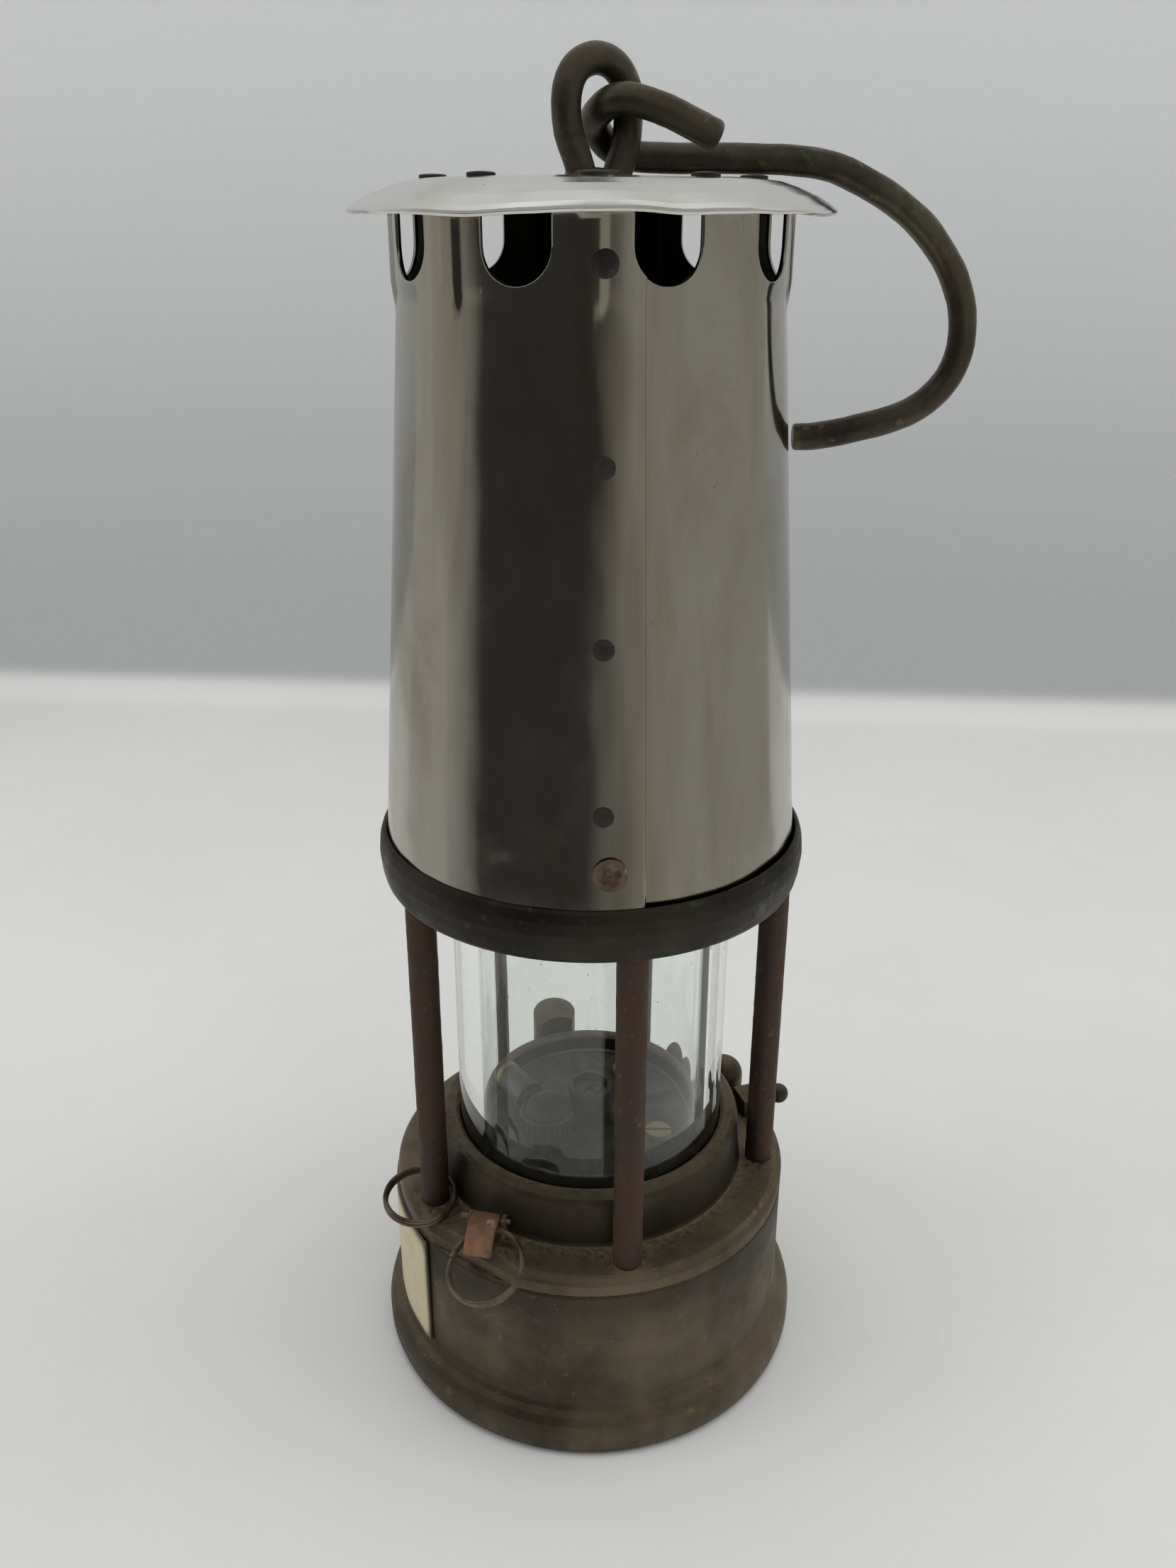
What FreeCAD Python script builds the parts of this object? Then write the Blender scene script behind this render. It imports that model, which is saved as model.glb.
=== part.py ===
import math
import os

import FreeCAD
import Part

# A miner's flame safety lamp, built in millimetres.
# +Z is up the lamp's axis, the origin is the centre of the plane it stands on,
# the front is towards -Y and +X is to the right.
# Azimuths are in degrees from the front, positive towards +X.

# Fuel vessel
FOOT_R = 45.0
FOOT_CONTACT_R = 43.6
VESSEL_R = 41.5
VESSEL_BORE_R = 39.0
VESSEL_TOP_Z = 38.0
FLOOR_Z = 9.0
FLOOR_T = 2.0
NECK_R = 29.0
NECK_TOP_Z = 45.0
BOSS_R = 22.0
BOSS_TOP_Z = 50.0
PLATE_R = 22.3
PLATE_T = 2.0
LABEL_T = 0.8
LABEL_FROM_AZ = -112.0
LABEL_TO_AZ = -51.8
LABEL_Z = (10.8, 37.3)

# Wick gear on the axis
WICK_TUBE_R = 4.6
WICK_TUBE_BORE_R = 3.75
WICK_TUBE_Z = (20.0, 59.0)
WICK_R = 3.3
SPINDLE_R = 1.5
RUNNING_GAP = 0.05

# Striker gear
STRIKER_X = -8.8
STRIKER_Y = -6.2
STRIKER_WHEEL_R = 5.6
STRIKER_WHEEL_Z = (52.6, 60.0)
FLINT_TUBE_R = 3.2
FLINT_TUBE_BORE_R = 2.2
FLINT_TUBE_Z = 56.2
FLINT_OUTER_X = -18.3
FLINT_OUTER_Y = 5.4

# Lower ring of the frame
RING_Z = (38.3, 42.0)
RING_R = 41.5
RING_BORE_R = 29.4
COLLAR_R = 32.0
COLLAR_TOP_Z = 53.3
FACET_AZ = -35.0
FACET_DISTANCE = 40.1
GASKET_R = (31.3, 38.7)

# Pillars
PILLAR_COUNT = 5
PILLAR_FIRST_AZ = 11.6
PILLAR_CIRCLE_R = 36.5
PILLAR_R = 2.84
SPIGOT_R = 1.9

# Glass
GLASS_R = 27.7
GLASS_BORE_R = 22.95
GLASS_Z = (48.0, 112.2)

# Gallery ring
WEB_Z = (113.2, 115.2)
GALLERY_BORE_R = 24.0

# Bonnet
BONNET_Z = 115.4
BONNET_SHOULDER_Z = 216.0
BONNET_LOW_R = 39.2
BONNET_LOW_Z = 121.0
BONNET_HIGH_R = 32.5
SHEET_T = 0.8
LAP_AZ = (-7.0, 13.6)
TONGUE_R = 32.8
VENT_COUNT = 9
VENT_WIDTH = 11.1
VENT_BOTTOM_Z = 218.7
TONGUE_TIP_R = 22.8
RIB_WIDTH = 3.6
RIB_PROUD = 0.7
TAB_R = 30.6
TONGUE_ROOT_Z = 219.5
SEAM_RIVET_AZ = 3.0
SEAM_RIVET_Z = (221.9, 193.4, 165.5, 137.6)
SCREW_AZ = 4.7
SCREW_Z = 127.4

# Cap
CAP_RIM_R = 39.9
CAP_RIM_Z = 229.0
CAP_FLAT_R = 28.3
CAP_TOP_Z = 233.5
CAP_T = 0.9
CAP_RIVET_CIRCLE_R = 25.9
CAP_RIVET_R = 2.2
CAP_RIVET_DRUM = 0.45
CAP_RIVET_DOME = 0.3

# Swivel eye and hook
WIRE_R = 2.4
EYE_PLANE_AZ = 32.0
STUD_R = 2.5

# Small rings and the hasp
PILLAR_RING_R = 7.5
PILLAR_RING_WIRE_R = 0.5
PILLAR_RING_TILT = 9.0
HASP_RING_R = 7.85
HASP_RING_WIRE_R = 0.45
HASP_RING_CENTRE = (-20.0, -37.7, 42.2)
HASP_RING_AZ = -32.2
HASP_RING_SLOPE = 63.9
HASP_AZ = -12.0
HASP_PIN = (-20.3, -28.6, 45.9)
HASP_WIDTH = 5.6
PIN_R = 0.5

UP = FreeCAD.Vector(0, 0, 1)
ORIGIN = FreeCAD.Vector(0, 0, 0)


def polar(radius, azimuth, z):
    a = math.radians(azimuth)
    return FreeCAD.Vector(radius * math.sin(a), -radius * math.cos(a), z)


def outward(azimuth):
    return polar(1.0, azimuth, 0.0)


def turned(points):
    """Solid of revolution about Z from a closed list of (radius, z)."""
    corners = [FreeCAD.Vector(r, 0, z) for r, z in points]
    corners.append(corners[0])
    return Part.Face(Part.makePolygon(corners)).revolve(ORIGIN, UP, 360)


def rod(radius, length, base, direction):
    return Part.makeCylinder(radius, length, base, direction)


def tube(outer, inner, z0, z1):
    return turned([(inner, z0), (outer, z0), (outer, z1), (inner, z1)])


def block(length, width, height, centre, azimuth, tilt=0.0):
    """Box with its length along the outward direction, centred on a point."""
    box = Part.makeBox(length, width, height, FreeCAD.Vector(-length / 2, -width / 2, -height / 2))
    box.rotate(ORIGIN, FreeCAD.Vector(0, 1, 0), tilt)
    box.rotate(ORIGIN, UP, azimuth - 90.0)
    box.translate(centre)
    return box


def sector(shape, from_az, to_az, z0, z1):
    """The part of a shape between two azimuths less than 180 degrees apart."""
    reach = 120.0
    corners = [FreeCAD.Vector(0, 0, z0)]
    steps = 6
    for i in range(steps + 1):
        corners.append(polar(reach, from_az + (to_az - from_az) * i / steps, z0))
    corners.append(corners[0])
    wedge = Part.Face(Part.makePolygon(corners)).extrude(FreeCAD.Vector(0, 0, z1 - z0))
    return shape.common(wedge)


def swept(points, radius):
    """Round wire along a smooth curve through the points."""
    curve = Part.BSplineCurve()
    curve.interpolate(points)
    start = curve.value(curve.FirstParameter)
    along = curve.tangent(curve.FirstParameter)[0]
    spine = Part.Wire([curve.toShape()])
    profile = Part.Wire([Part.makeCircle(radius, start, along)])
    return spine.makePipeShell([profile], True, False)


def coil(wire_radius, outer_radius, turns, centre, axis):
    """Coils of wire lying against each other, like a split ring, as one solid."""
    rings = []
    for i in range(turns):
        offset = (i - (turns - 1) / 2) * wire_radius * 1.9
        place = centre + axis * offset
        rings.append(Part.makeTorus(outer_radius - wire_radius, wire_radius, place, axis))
    return rings[0].fuse(rings[1:]).removeSplitter()


def single(shape):
    """The one solid inside a compound left by a boolean."""
    return max(shape.Solids, key=lambda s: s.Volume)


def bonnet_r(z):
    slope = (BONNET_LOW_R - BONNET_HIGH_R) / (BONNET_SHOULDER_Z - BONNET_LOW_Z)
    return BONNET_LOW_R - (z - BONNET_LOW_Z) * slope


# ---------------------------------------------------------------- fuel vessel


def fuel_vessel():
    body = turned([
        (VESSEL_BORE_R, 0.0), (FOOT_CONTACT_R, 0.0), (44.5, 0.8), (FOOT_R, 2.6), (FOOT_R, 5.6),
        (44.5, 7.3), (43.4, 8.5), (42.2, 9.4), (41.6, 10.4), (VESSEL_R, 11.4),
        (VESSEL_R, 37.5), (41.0, VESSEL_TOP_Z), (NECK_R, VESSEL_TOP_Z),
        (NECK_R, NECK_TOP_Z - 0.5), (NECK_R - 0.5, NECK_TOP_Z), (BOSS_R, NECK_TOP_Z),
        (BOSS_R, BOSS_TOP_Z), (0.0, BOSS_TOP_Z), (0.0, 43.0), (26.0, 43.0), (26.0, 35.5),
        (VESSEL_BORE_R, 35.5),
    ])
    body = body.cut(rod(WICK_TUBE_R, 12.0, FreeCAD.Vector(0, 0, 40.0), UP))
    return body.cut(rod(2.4, 12.0, FreeCAD.Vector(STRIKER_X, STRIKER_Y, 40.0), UP))


def vessel_floor():
    disc = rod(VESSEL_BORE_R, FLOOR_T, FreeCAD.Vector(0, 0, FLOOR_Z), UP)
    disc = disc.cut(rod(2.6, 4.0, FreeCAD.Vector(0, 0, FLOOR_Z - 1.0), UP))
    return disc.cut(rod(2.4, 4.0, FreeCAD.Vector(STRIKER_X, STRIKER_Y, FLOOR_Z - 1.0), UP))


def absorbent_wadding():
    pad = tube(38.4, 5.2, 11.3, 35.0)
    return pad.cut(rod(3.0, 30.0, FreeCAD.Vector(STRIKER_X, STRIKER_Y, 10.0), UP))


def label_plate():
    wrap = tube(VESSEL_R + LABEL_T, VESSEL_R, LABEL_Z[0] + 0.6, LABEL_Z[1])
    return single(sector(wrap, LABEL_FROM_AZ, LABEL_TO_AZ, 0.0, 60.0))


def burner_plate():
    z0 = BOSS_TOP_Z
    z1 = BOSS_TOP_Z + PLATE_T
    plate = turned([
        (0.0, z0), (PLATE_R, z0), (PLATE_R, z1 + 0.4), (PLATE_R - 0.9, z1 + 0.4),
        (PLATE_R - 1.3, z1), (0.0, z1),
    ])
    plate = plate.cut(rod(WICK_TUBE_R, 6.0, FreeCAD.Vector(0, 0, z0 - 1.0), UP))
    plate = plate.cut(rod(2.4, 6.0, FreeCAD.Vector(STRIKER_X, STRIKER_Y, z0 - 1.0), UP))
    for azimuth in (60.0, 150.0):
        plate = plate.cut(rod(1.6, 6.0, polar(16.0, azimuth, z0 - 1.0), UP))
    return plate


def plate_screws():
    screws = []
    for azimuth in (60.0, 150.0):
        head = rod(2.6, 1.3, polar(16.0, azimuth, BOSS_TOP_Z + PLATE_T), UP)
        shank = rod(1.55, PLATE_T, polar(16.0, azimuth, BOSS_TOP_Z), UP)
        slot = block(8.0, 0.6, 1.2, polar(16.0, azimuth, BOSS_TOP_Z + PLATE_T + 1.3), azimuth + 30.0)
        screws.append(head.fuse(shank).cut(slot).removeSplitter())
    return Part.makeCompound(screws)


def wick_tube():
    low, high = WICK_TUBE_Z
    pipe = turned([
        (WICK_TUBE_BORE_R, low), (WICK_TUBE_R, low), (WICK_TUBE_R, high - 0.6),
        (WICK_TUBE_R - 0.3, high), (WICK_TUBE_BORE_R, high),
    ])
    for azimuth in (0.0, 90.0, 180.0, 270.0):
        pipe = pipe.cut(rod(1.5, 8.0, ORIGIN + FreeCAD.Vector(0, 0, 23.0), outward(azimuth)))
    return pipe


def wick_gland():
    return tube(2.6, SPINDLE_R + RUNNING_GAP, FLOOR_Z, 24.0)


def striker_sleeve():
    sleeve = tube(2.4, SPINDLE_R + RUNNING_GAP, FLOOR_Z, BOSS_TOP_Z + PLATE_T)
    sleeve.translate(FreeCAD.Vector(STRIKER_X, STRIKER_Y, 0))
    return sleeve


def flint_line():
    """Start point, direction and length from the barrel's outer end to the wheel's centre."""
    start = FreeCAD.Vector(FLINT_OUTER_X, FLINT_OUTER_Y, FLINT_TUBE_Z)
    aim = FreeCAD.Vector(STRIKER_X, STRIKER_Y, FLINT_TUBE_Z) - start
    length = aim.Length
    return start, aim.normalize(), length


def flint_tube():
    start, aim, length = flint_line()
    reach = length - STRIKER_WHEEL_R - 0.7
    barrel = rod(FLINT_TUBE_R, reach, start, aim)
    saddle = Part.makeBox(3.4, reach - 1.0, 2.6, FreeCAD.Vector(-1.7, 0.8, 0.0))
    saddle.rotate(ORIGIN, UP, math.degrees(math.atan2(aim.y, aim.x)) - 90.0)
    saddle.translate(FreeCAD.Vector(start.x, start.y, BOSS_TOP_Z + PLATE_T))
    bore = rod(FLINT_TUBE_BORE_R, reach + 2.0, start - aim, aim)
    return barrel.fuse(saddle).cut(bore).removeSplitter()


def flint_tube_cap():
    start, aim, length = flint_line()
    cap = rod(FLINT_TUBE_R, 1.4, start - aim * 1.4, aim)
    plug = rod(FLINT_TUBE_BORE_R - 0.02, 1.5, start, aim)
    return cap.fuse(plug).removeSplitter()


def flint():
    start, aim, length = flint_line()
    return rod(2.05, 2.4, start + aim * (length - STRIKER_WHEEL_R - 2.9), aim)


def flint_spring():
    start, aim, length = flint_line()
    run = length - STRIKER_WHEEL_R - 3.1 - 1.7
    return rod(1.9, run, start + aim * 1.6, aim).cut(rod(1.4, run, start + aim * 1.6, aim))


def wick_knob():
    knob = turned([
        (0.0, 2.0), (4.4, 2.0), (5.0, 2.6), (5.0, 6.2), (4.4, 6.8), (SPINDLE_R, 6.8),
        (SPINDLE_R, 24.2), (2.3, 24.2), (2.3, 25.2), (SPINDLE_R, 25.2), (SPINDLE_R, 36.0), (0.0, 36.0),
    ])
    for i in range(12):
        knob = knob.cut(rod(0.45, 6.0, polar(5.1, i * 30.0, 1.5), UP))
    return knob


def wick_carrier():
    return tube(3.6, SPINDLE_R + RUNNING_GAP, 26.0, 31.0)


def wick():
    body = rod(WICK_R, 26.4, FreeCAD.Vector(0, 0, 31.0), UP)
    return body.cut(rod(1.9, 6.0, FreeCAD.Vector(0, 0, 31.0), UP))


def striker_wheel():
    low, high = STRIKER_WHEEL_Z
    wheel = turned([
        (0.0, low), (STRIKER_WHEEL_R, low), (STRIKER_WHEEL_R, high - 0.6),
        (STRIKER_WHEEL_R - 0.6, high), (STRIKER_WHEEL_R - 1.6, high), (2.6, high - 1.2), (0.0, high - 1.2),
    ])
    for i in range(24):
        wheel = wheel.cut(rod(0.28, 12.0, polar(STRIKER_WHEEL_R + 0.1, i * 15.0, low - 1.0), UP))
    wheel.translate(FreeCAD.Vector(STRIKER_X, STRIKER_Y, 0))
    return wheel


def striker_key():
    x, y = STRIKER_X, STRIKER_Y
    stem = rod(SPINDLE_R, STRIKER_WHEEL_Z[0] - 6.5, FreeCAD.Vector(x, y, 6.5), UP)
    hub = rod(2.6, 2.0, FreeCAD.Vector(x, y, 6.5), UP)
    wing = Part.makeBox(8.4, 1.8, 5.0, FreeCAD.Vector(x - 4.2, y - 0.9, 1.8))
    return stem.fuse([hub, wing]).removeSplitter()


def vessel_gasket():
    return tube(GASKET_R[1], GASKET_R[0], VESSEL_TOP_Z, VESSEL_TOP_Z + 1.0)


# ---------------------------------------------------------------------- cage


def pillar_azimuths():
    return [PILLAR_FIRST_AZ + 360.0 / PILLAR_COUNT * i for i in range(PILLAR_COUNT)]


def lower_ring():
    low, top = RING_Z
    ring = turned([
        (RING_BORE_R, low), (31.0, low), (31.0, VESSEL_TOP_Z + 1.0), (39.0, VESSEL_TOP_Z + 1.0),
        (39.0, low), (RING_R, low), (RING_R, 40.6), (41.2, 41.2), (40.6, 41.7), (39.7, top),
        (COLLAR_R + 0.3, top), (COLLAR_R, top + 0.3), (COLLAR_R - 0.1, 47.0), (31.6, 51.6),
        (31.2, 52.6), (30.4, 53.2), (28.7, COLLAR_TOP_Z), (27.9, 52.8), (27.9, 47.0),
        (24.5, 47.0), (24.5, 45.6), (RING_BORE_R, 45.6),
    ])
    facet = block(8.0, 60.0, 20.0, polar(FACET_DISTANCE + 4.0, FACET_AZ, 40.0), FACET_AZ)
    ring = ring.cut(facet)
    corner = polar(FACET_DISTANCE - 0.7, FACET_AZ, top - 0.7) + outward(FACET_AZ) * 3.0
    corner.z = corner.z + 3.0
    bevel = block(60.0 / 7.07, 24.0, 6.0 * math.sqrt(2.0), corner, FACET_AZ, 45.0)
    ring = ring.cut(bevel)
    for azimuth in pillar_azimuths():
        ring = ring.cut(rod(SPIGOT_R, 2.4, polar(PILLAR_CIRCLE_R, azimuth, 39.6), UP))
    return single(ring)


def pillars():
    posts = []
    for azimuth in pillar_azimuths():
        post = rod(PILLAR_R, WEB_Z[0] - RING_Z[1], polar(PILLAR_CIRCLE_R, azimuth, RING_Z[1]), UP)
        spigot = rod(SPIGOT_R, WEB_Z[1] - 39.6, polar(PILLAR_CIRCLE_R, azimuth, 39.6), UP)
        posts.append(post.fuse(spigot).removeSplitter())
    return Part.makeCompound(posts)


def glass_cylinder():
    low, high = GLASS_Z
    return turned([
        (GLASS_BORE_R + 0.3, low), (GLASS_R - 0.4, low), (GLASS_R, low + 0.4), (GLASS_R, high - 0.4),
        (GLASS_R - 0.4, high), (GLASS_BORE_R + 0.3, high), (GLASS_BORE_R, high - 0.3),
        (GLASS_BORE_R, low + 0.3),
    ])


def glass_seat_gaskets():
    lower = tube(27.5, 24.6, 47.0, GLASS_Z[0])
    upper = tube(27.5, 24.2, GLASS_Z[1], WEB_Z[0])
    return Part.makeCompound([lower, upper])


def gallery_ring():
    low, high = WEB_Z
    ring = turned([
        (39.4, 111.0), (39.9, 111.0), (40.3, 111.6), (40.6, 113.2), (40.95, 115.2), (41.0, 116.6),
        (40.8, 118.6), (40.4, 120.2), (39.95, 120.9), (bonnet_r(120.9) + 0.2, 120.9),
        (bonnet_r(high) + 0.2, high), (GALLERY_BORE_R, high), (GALLERY_BORE_R, low), (39.4, low),
    ])
    for azimuth in pillar_azimuths():
        ring = ring.cut(rod(SPIGOT_R, 4.0, polar(PILLAR_CIRCLE_R, azimuth, low - 1.0), UP))
    return ring


def bonnet_profile(outer_offset, thickness, low):
    """Closed section of the bonnet's sheet, moved outwards by an offset."""
    k = outer_offset
    t = thickness
    outer = [
        (bonnet_r(low) + k, low), (BONNET_HIGH_R + k, BONNET_SHOULDER_Z), (TONGUE_R + k, 218.0),
        (TONGUE_R + k, 229.5), (32.1 + k, 230.7), (30.2, 231.75), (28.2, 232.5), (TONGUE_TIP_R, 232.5),
    ]
    inner = [
        (TONGUE_TIP_R, 232.5 - t), (28.0, 232.5 - t), (29.9, 231.75 - t), (31.4 + k - t / 2, 230.5 - t / 2),
        (TONGUE_R + k - t, 229.3), (TONGUE_R + k - t, 218.0), (BONNET_HIGH_R + k - t, BONNET_SHOULDER_Z),
        (bonnet_r(low) + k - t, low),
    ]
    return outer + inner


def bonnet_sheet():
    """The whole formed sheet: skirt, nine tongues between the vents and their inward tabs."""
    shell = turned(bonnet_profile(-0.2, SHEET_T, BONNET_Z))
    strip_low = 121.6
    strip = turned([
        (bonnet_r(strip_low) - 0.6, strip_low), (bonnet_r(strip_low) + 0.4, strip_low),
        (BONNET_HIGH_R + 0.4, BONNET_SHOULDER_Z), (TONGUE_R + 0.4, 218.0), (TONGUE_R + 0.4, 226.0),
        (TONGUE_R - 0.6, 226.0), (TONGUE_R - 0.6, 218.0), (BONNET_HIGH_R - 0.6, BONNET_SHOULDER_Z),
    ])
    shell = shell.fuse(single(sector(strip, LAP_AZ[0], LAP_AZ[1], 110.0, 230.0)))
    for i in range(VENT_COUNT):
        azimuth = 20.0 + 40.0 * i
        radius = VENT_WIDTH / 2
        centre = polar(28.0, azimuth, VENT_BOTTOM_Z + radius)
        slot = rod(radius, 16.0, polar(20.0, azimuth, VENT_BOTTOM_Z + radius), outward(azimuth))
        centre.z = VENT_BOTTOM_Z + radius + 10.0
        slot = slot.fuse(block(16.0, VENT_WIDTH, 20.0, centre, azimuth))
        shell = shell.cut(slot)
    for i in range(VENT_COUNT):
        azimuth = 40.0 * i
        rib = block(1.6, RIB_WIDTH, 13.4, polar(TONGUE_R + RIB_PROUD - 1.0, azimuth, 222.3), azimuth)
        nose = block(1.6, RIB_WIDTH * 0.7, 1.6, polar(TONGUE_R + RIB_PROUD - 1.1, azimuth, 215.0), azimuth)
        shell = shell.fuse([rib, nose])
    for z in SEAM_RIVET_Z:
        shell = shell.cut(rod(0.85, 8.0, polar(bonnet_r(z) - 5.0, SEAM_RIVET_AZ, z), outward(SEAM_RIVET_AZ)))
    shell = shell.cut(rod(1.45, 8.0, polar(bonnet_r(SCREW_Z) - 5.0, SCREW_AZ, SCREW_Z), outward(SCREW_AZ)))
    for i in range(VENT_COUNT):
        shell = shell.cut(rod(1.15, 6.0, polar(CAP_RIVET_CIRCLE_R, 40.0 * i, 230.0), UP))
    return single(shell)


def bonnet():
    return single(bonnet_sheet().cut(rod(50.0, 30.0, FreeCAD.Vector(0, 0, TONGUE_ROOT_Z), UP)))


def bonnet_tongues():
    upper = bonnet_sheet().common(rod(50.0, 30.0, FreeCAD.Vector(0, 0, TONGUE_ROOT_Z), UP))
    return upper.cut(rod(TAB_R, 30.0, FreeCAD.Vector(0, 0, TONGUE_ROOT_Z), UP))


def bonnet_tabs():
    return bonnet_sheet().common(rod(TAB_R, 30.0, FreeCAD.Vector(0, 0, TONGUE_ROOT_Z), UP))


def dome(radius, height, base, direction):
    """Domed head: a slice off a sphere, standing on a base point."""
    sphere_r = (radius * radius + height * height) / (2 * height)
    ball = Part.makeSphere(sphere_r, base + direction * (height - sphere_r))
    return ball.common(rod(radius + 1.0, height + 1.0, base, direction))


def seam_rivets():
    rivets = []
    for z in SEAM_RIVET_Z:
        face_r = bonnet_r(z) + 0.6
        if z > BONNET_SHOULDER_Z:
            face_r = TONGUE_R + RIB_PROUD
        aim = outward(SEAM_RIVET_AZ)
        head = dome(1.8, 0.9, polar(face_r, SEAM_RIVET_AZ, z), aim)
        shank = rod(0.8, 2.5, polar(face_r - 2.5, SEAM_RIVET_AZ, z), aim)
        tail = rod(1.5, 0.5, polar(face_r - 2.5, SEAM_RIVET_AZ, z), aim)
        rivets.append(head.fuse([shank, tail]).removeSplitter())
    return Part.makeCompound(rivets)


def bonnet_screw():
    aim = outward(SCREW_AZ)
    face_r = bonnet_r(SCREW_Z) + 0.75
    head = dome(2.95, 1.5, polar(face_r, SCREW_AZ, SCREW_Z), aim)
    shank = rod(1.4, 4.6, polar(face_r - 4.6, SCREW_AZ, SCREW_Z), aim)
    return head.fuse(shank).removeSplitter()


def bonnet_bracket():
    plate = block(2.0, 8.0, 15.4, polar(35.9, SCREW_AZ, WEB_Z[1] + 7.7), SCREW_AZ)
    return plate.cut(rod(1.45, 8.0, polar(32.0, SCREW_AZ, SCREW_Z), outward(SCREW_AZ)))


def gauze_ring():
    return tube(34.6, 18.6, WEB_Z[1], WEB_Z[1] + 1.6)


def gauze_tube(low_r, high_r, high_z):
    low = WEB_Z[1] + 1.6
    t = 0.5
    return turned([
        (low_r - t, low), (low_r, low), (high_r, high_z - 1.5), (high_r - 1.5, high_z), (0.0, high_z),
        (0.0, high_z - t), (high_r - 1.5 - t / 2, high_z - t), (high_r - t, high_z - 1.5 - t / 2),
    ])


def inner_gauze():
    return gauze_tube(19.6, 18.0, 197.0)


def outer_gauze():
    return gauze_tube(24.4, 22.6, 204.0)


def cap():
    shell = turned([
        (STUD_R + RUNNING_GAP, CAP_TOP_Z), (CAP_FLAT_R, CAP_TOP_Z), (30.4, 233.3), (33.0, 232.5),
        (36.0, 231.25), (38.4, 229.95), (39.5, 229.2), (CAP_RIM_R, CAP_RIM_Z - 0.1), (39.55, 228.3),
        (38.2, 229.0), (35.7, 230.4), (32.7, 231.65), (30.2, 232.4), (28.2, CAP_TOP_Z - CAP_T),
        (STUD_R + RUNNING_GAP, CAP_TOP_Z - CAP_T),
    ])
    for i in range(VENT_COUNT):
        shell = shell.cut(rod(1.15, 4.0, polar(CAP_RIVET_CIRCLE_R, 40.0 * i, 231.0), UP))
    return shell


def cap_rivets():
    rivets = []
    for i in range(VENT_COUNT):
        azimuth = 40.0 * i
        base = polar(CAP_RIVET_CIRCLE_R, azimuth, CAP_TOP_Z)
        head = dome(CAP_RIVET_R, CAP_RIVET_DOME, base + UP * CAP_RIVET_DRUM, UP)
        drum = rod(CAP_RIVET_R, CAP_RIVET_DRUM, base, UP)
        shank = rod(1.1, CAP_TOP_Z - 231.0, polar(CAP_RIVET_CIRCLE_R, azimuth, 231.0), UP)
        tail = rod(1.9, 0.7, polar(CAP_RIVET_CIRCLE_R, azimuth, 231.0), UP)
        rivets.append(drum.fuse([head, shank, tail]).removeSplitter())
    return Part.makeCompound(rivets)


# ----------------------------------------------- fittings on the lower ring


def lock_housing():
    azimuth = -163.0
    drum = rod(6.2, 13.2, polar(36.4, azimuth, RING_Z[1]), UP)
    head = dome(6.2, 1.8, polar(36.4, azimuth, RING_Z[1] + 13.2), UP)
    body = drum.fuse(head).removeSplitter()
    body = body.cut(rod(COLLAR_R + 0.3, 20.0, FreeCAD.Vector(0, 0, RING_Z[1] - 1.0), UP))
    return single(body.cut(rod(2.6, 10.0, polar(37.4, azimuth, RING_Z[1]), UP)))


def lock_plunger():
    return rod(2.5, 5.0, polar(37.4, -163.0, RING_Z[1] + 0.2), UP)


def lock_spring():
    z0 = RING_Z[1] + 5.3
    spring = rod(2.3, 4.5, polar(37.4, -163.0, z0), UP)
    return spring.cut(rod(1.7, 4.5, polar(37.4, -163.0, z0), UP))


def air_valve_body():
    lobes = []
    for azimuth, radius, top in ((123.5, 4.3, 50.0), (135.0, 4.3, 51.0)):
        lobe = rod(radius, top - radius - RING_Z[1], polar(37.0, azimuth, RING_Z[1]), UP)
        ball = Part.makeSphere(radius, polar(37.0, azimuth, top - radius))
        lobes.append(lobe.fuse(ball.cut(rod(9.0, 9.0, polar(37.0, azimuth, RING_Z[1] - 9.0), UP))))
    bridge = block(4.0, 8.0, 6.0, polar(36.6, 129.2, 45.0), 129.2)
    body = lobes[0].fuse([lobes[1], bridge]).removeSplitter()
    return single(body.cut(rod(COLLAR_R + 0.3, 20.0, FreeCAD.Vector(0, 0, RING_Z[1] - 1.0), UP)))


def air_valve_nozzle():
    azimuth = 109.0
    aim = outward(azimuth)
    seat = block(5.0, 6.0, 4.2, polar(38.0, azimuth, RING_Z[1] + 2.1), azimuth)
    barrel = rod(1.7, 6.0, polar(39.0, azimuth, RING_Z[1] + 2.3), aim)
    knob = Part.makeSphere(2.2, polar(45.4, azimuth, RING_Z[1] + 2.3))
    return seat.fuse([barrel, knob]).removeSplitter()


def hasp_pin_point():
    return FreeCAD.Vector(*HASP_PIN)


def tangent(azimuth):
    a = math.radians(azimuth)
    return FreeCAD.Vector(math.cos(a), math.sin(a), 0)


def hasp_ears():
    """Two low lugs that stand on the ring and hold the pin's ends."""
    side = tangent(HASP_AZ)
    ears = []
    for sign in (-1.0, 1.0):
        middle = hasp_pin_point() + side * (sign * (HASP_WIDTH / 2 + 0.65))
        middle.z = RING_Z[1] + 2.3
        plate = block(2.2, 0.8, 4.6, middle, HASP_AZ)
        ears.append(plate.cut(rod(PIN_R, 12.0, hasp_pin_point() - side * 6.0, side)))
    return Part.makeCompound(ears)


def hasp_pin():
    side = tangent(HASP_AZ)
    return rod(PIN_R, HASP_WIDTH + 4.4, hasp_pin_point() - side * (HASP_WIDTH / 2 + 2.4), side)


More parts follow.
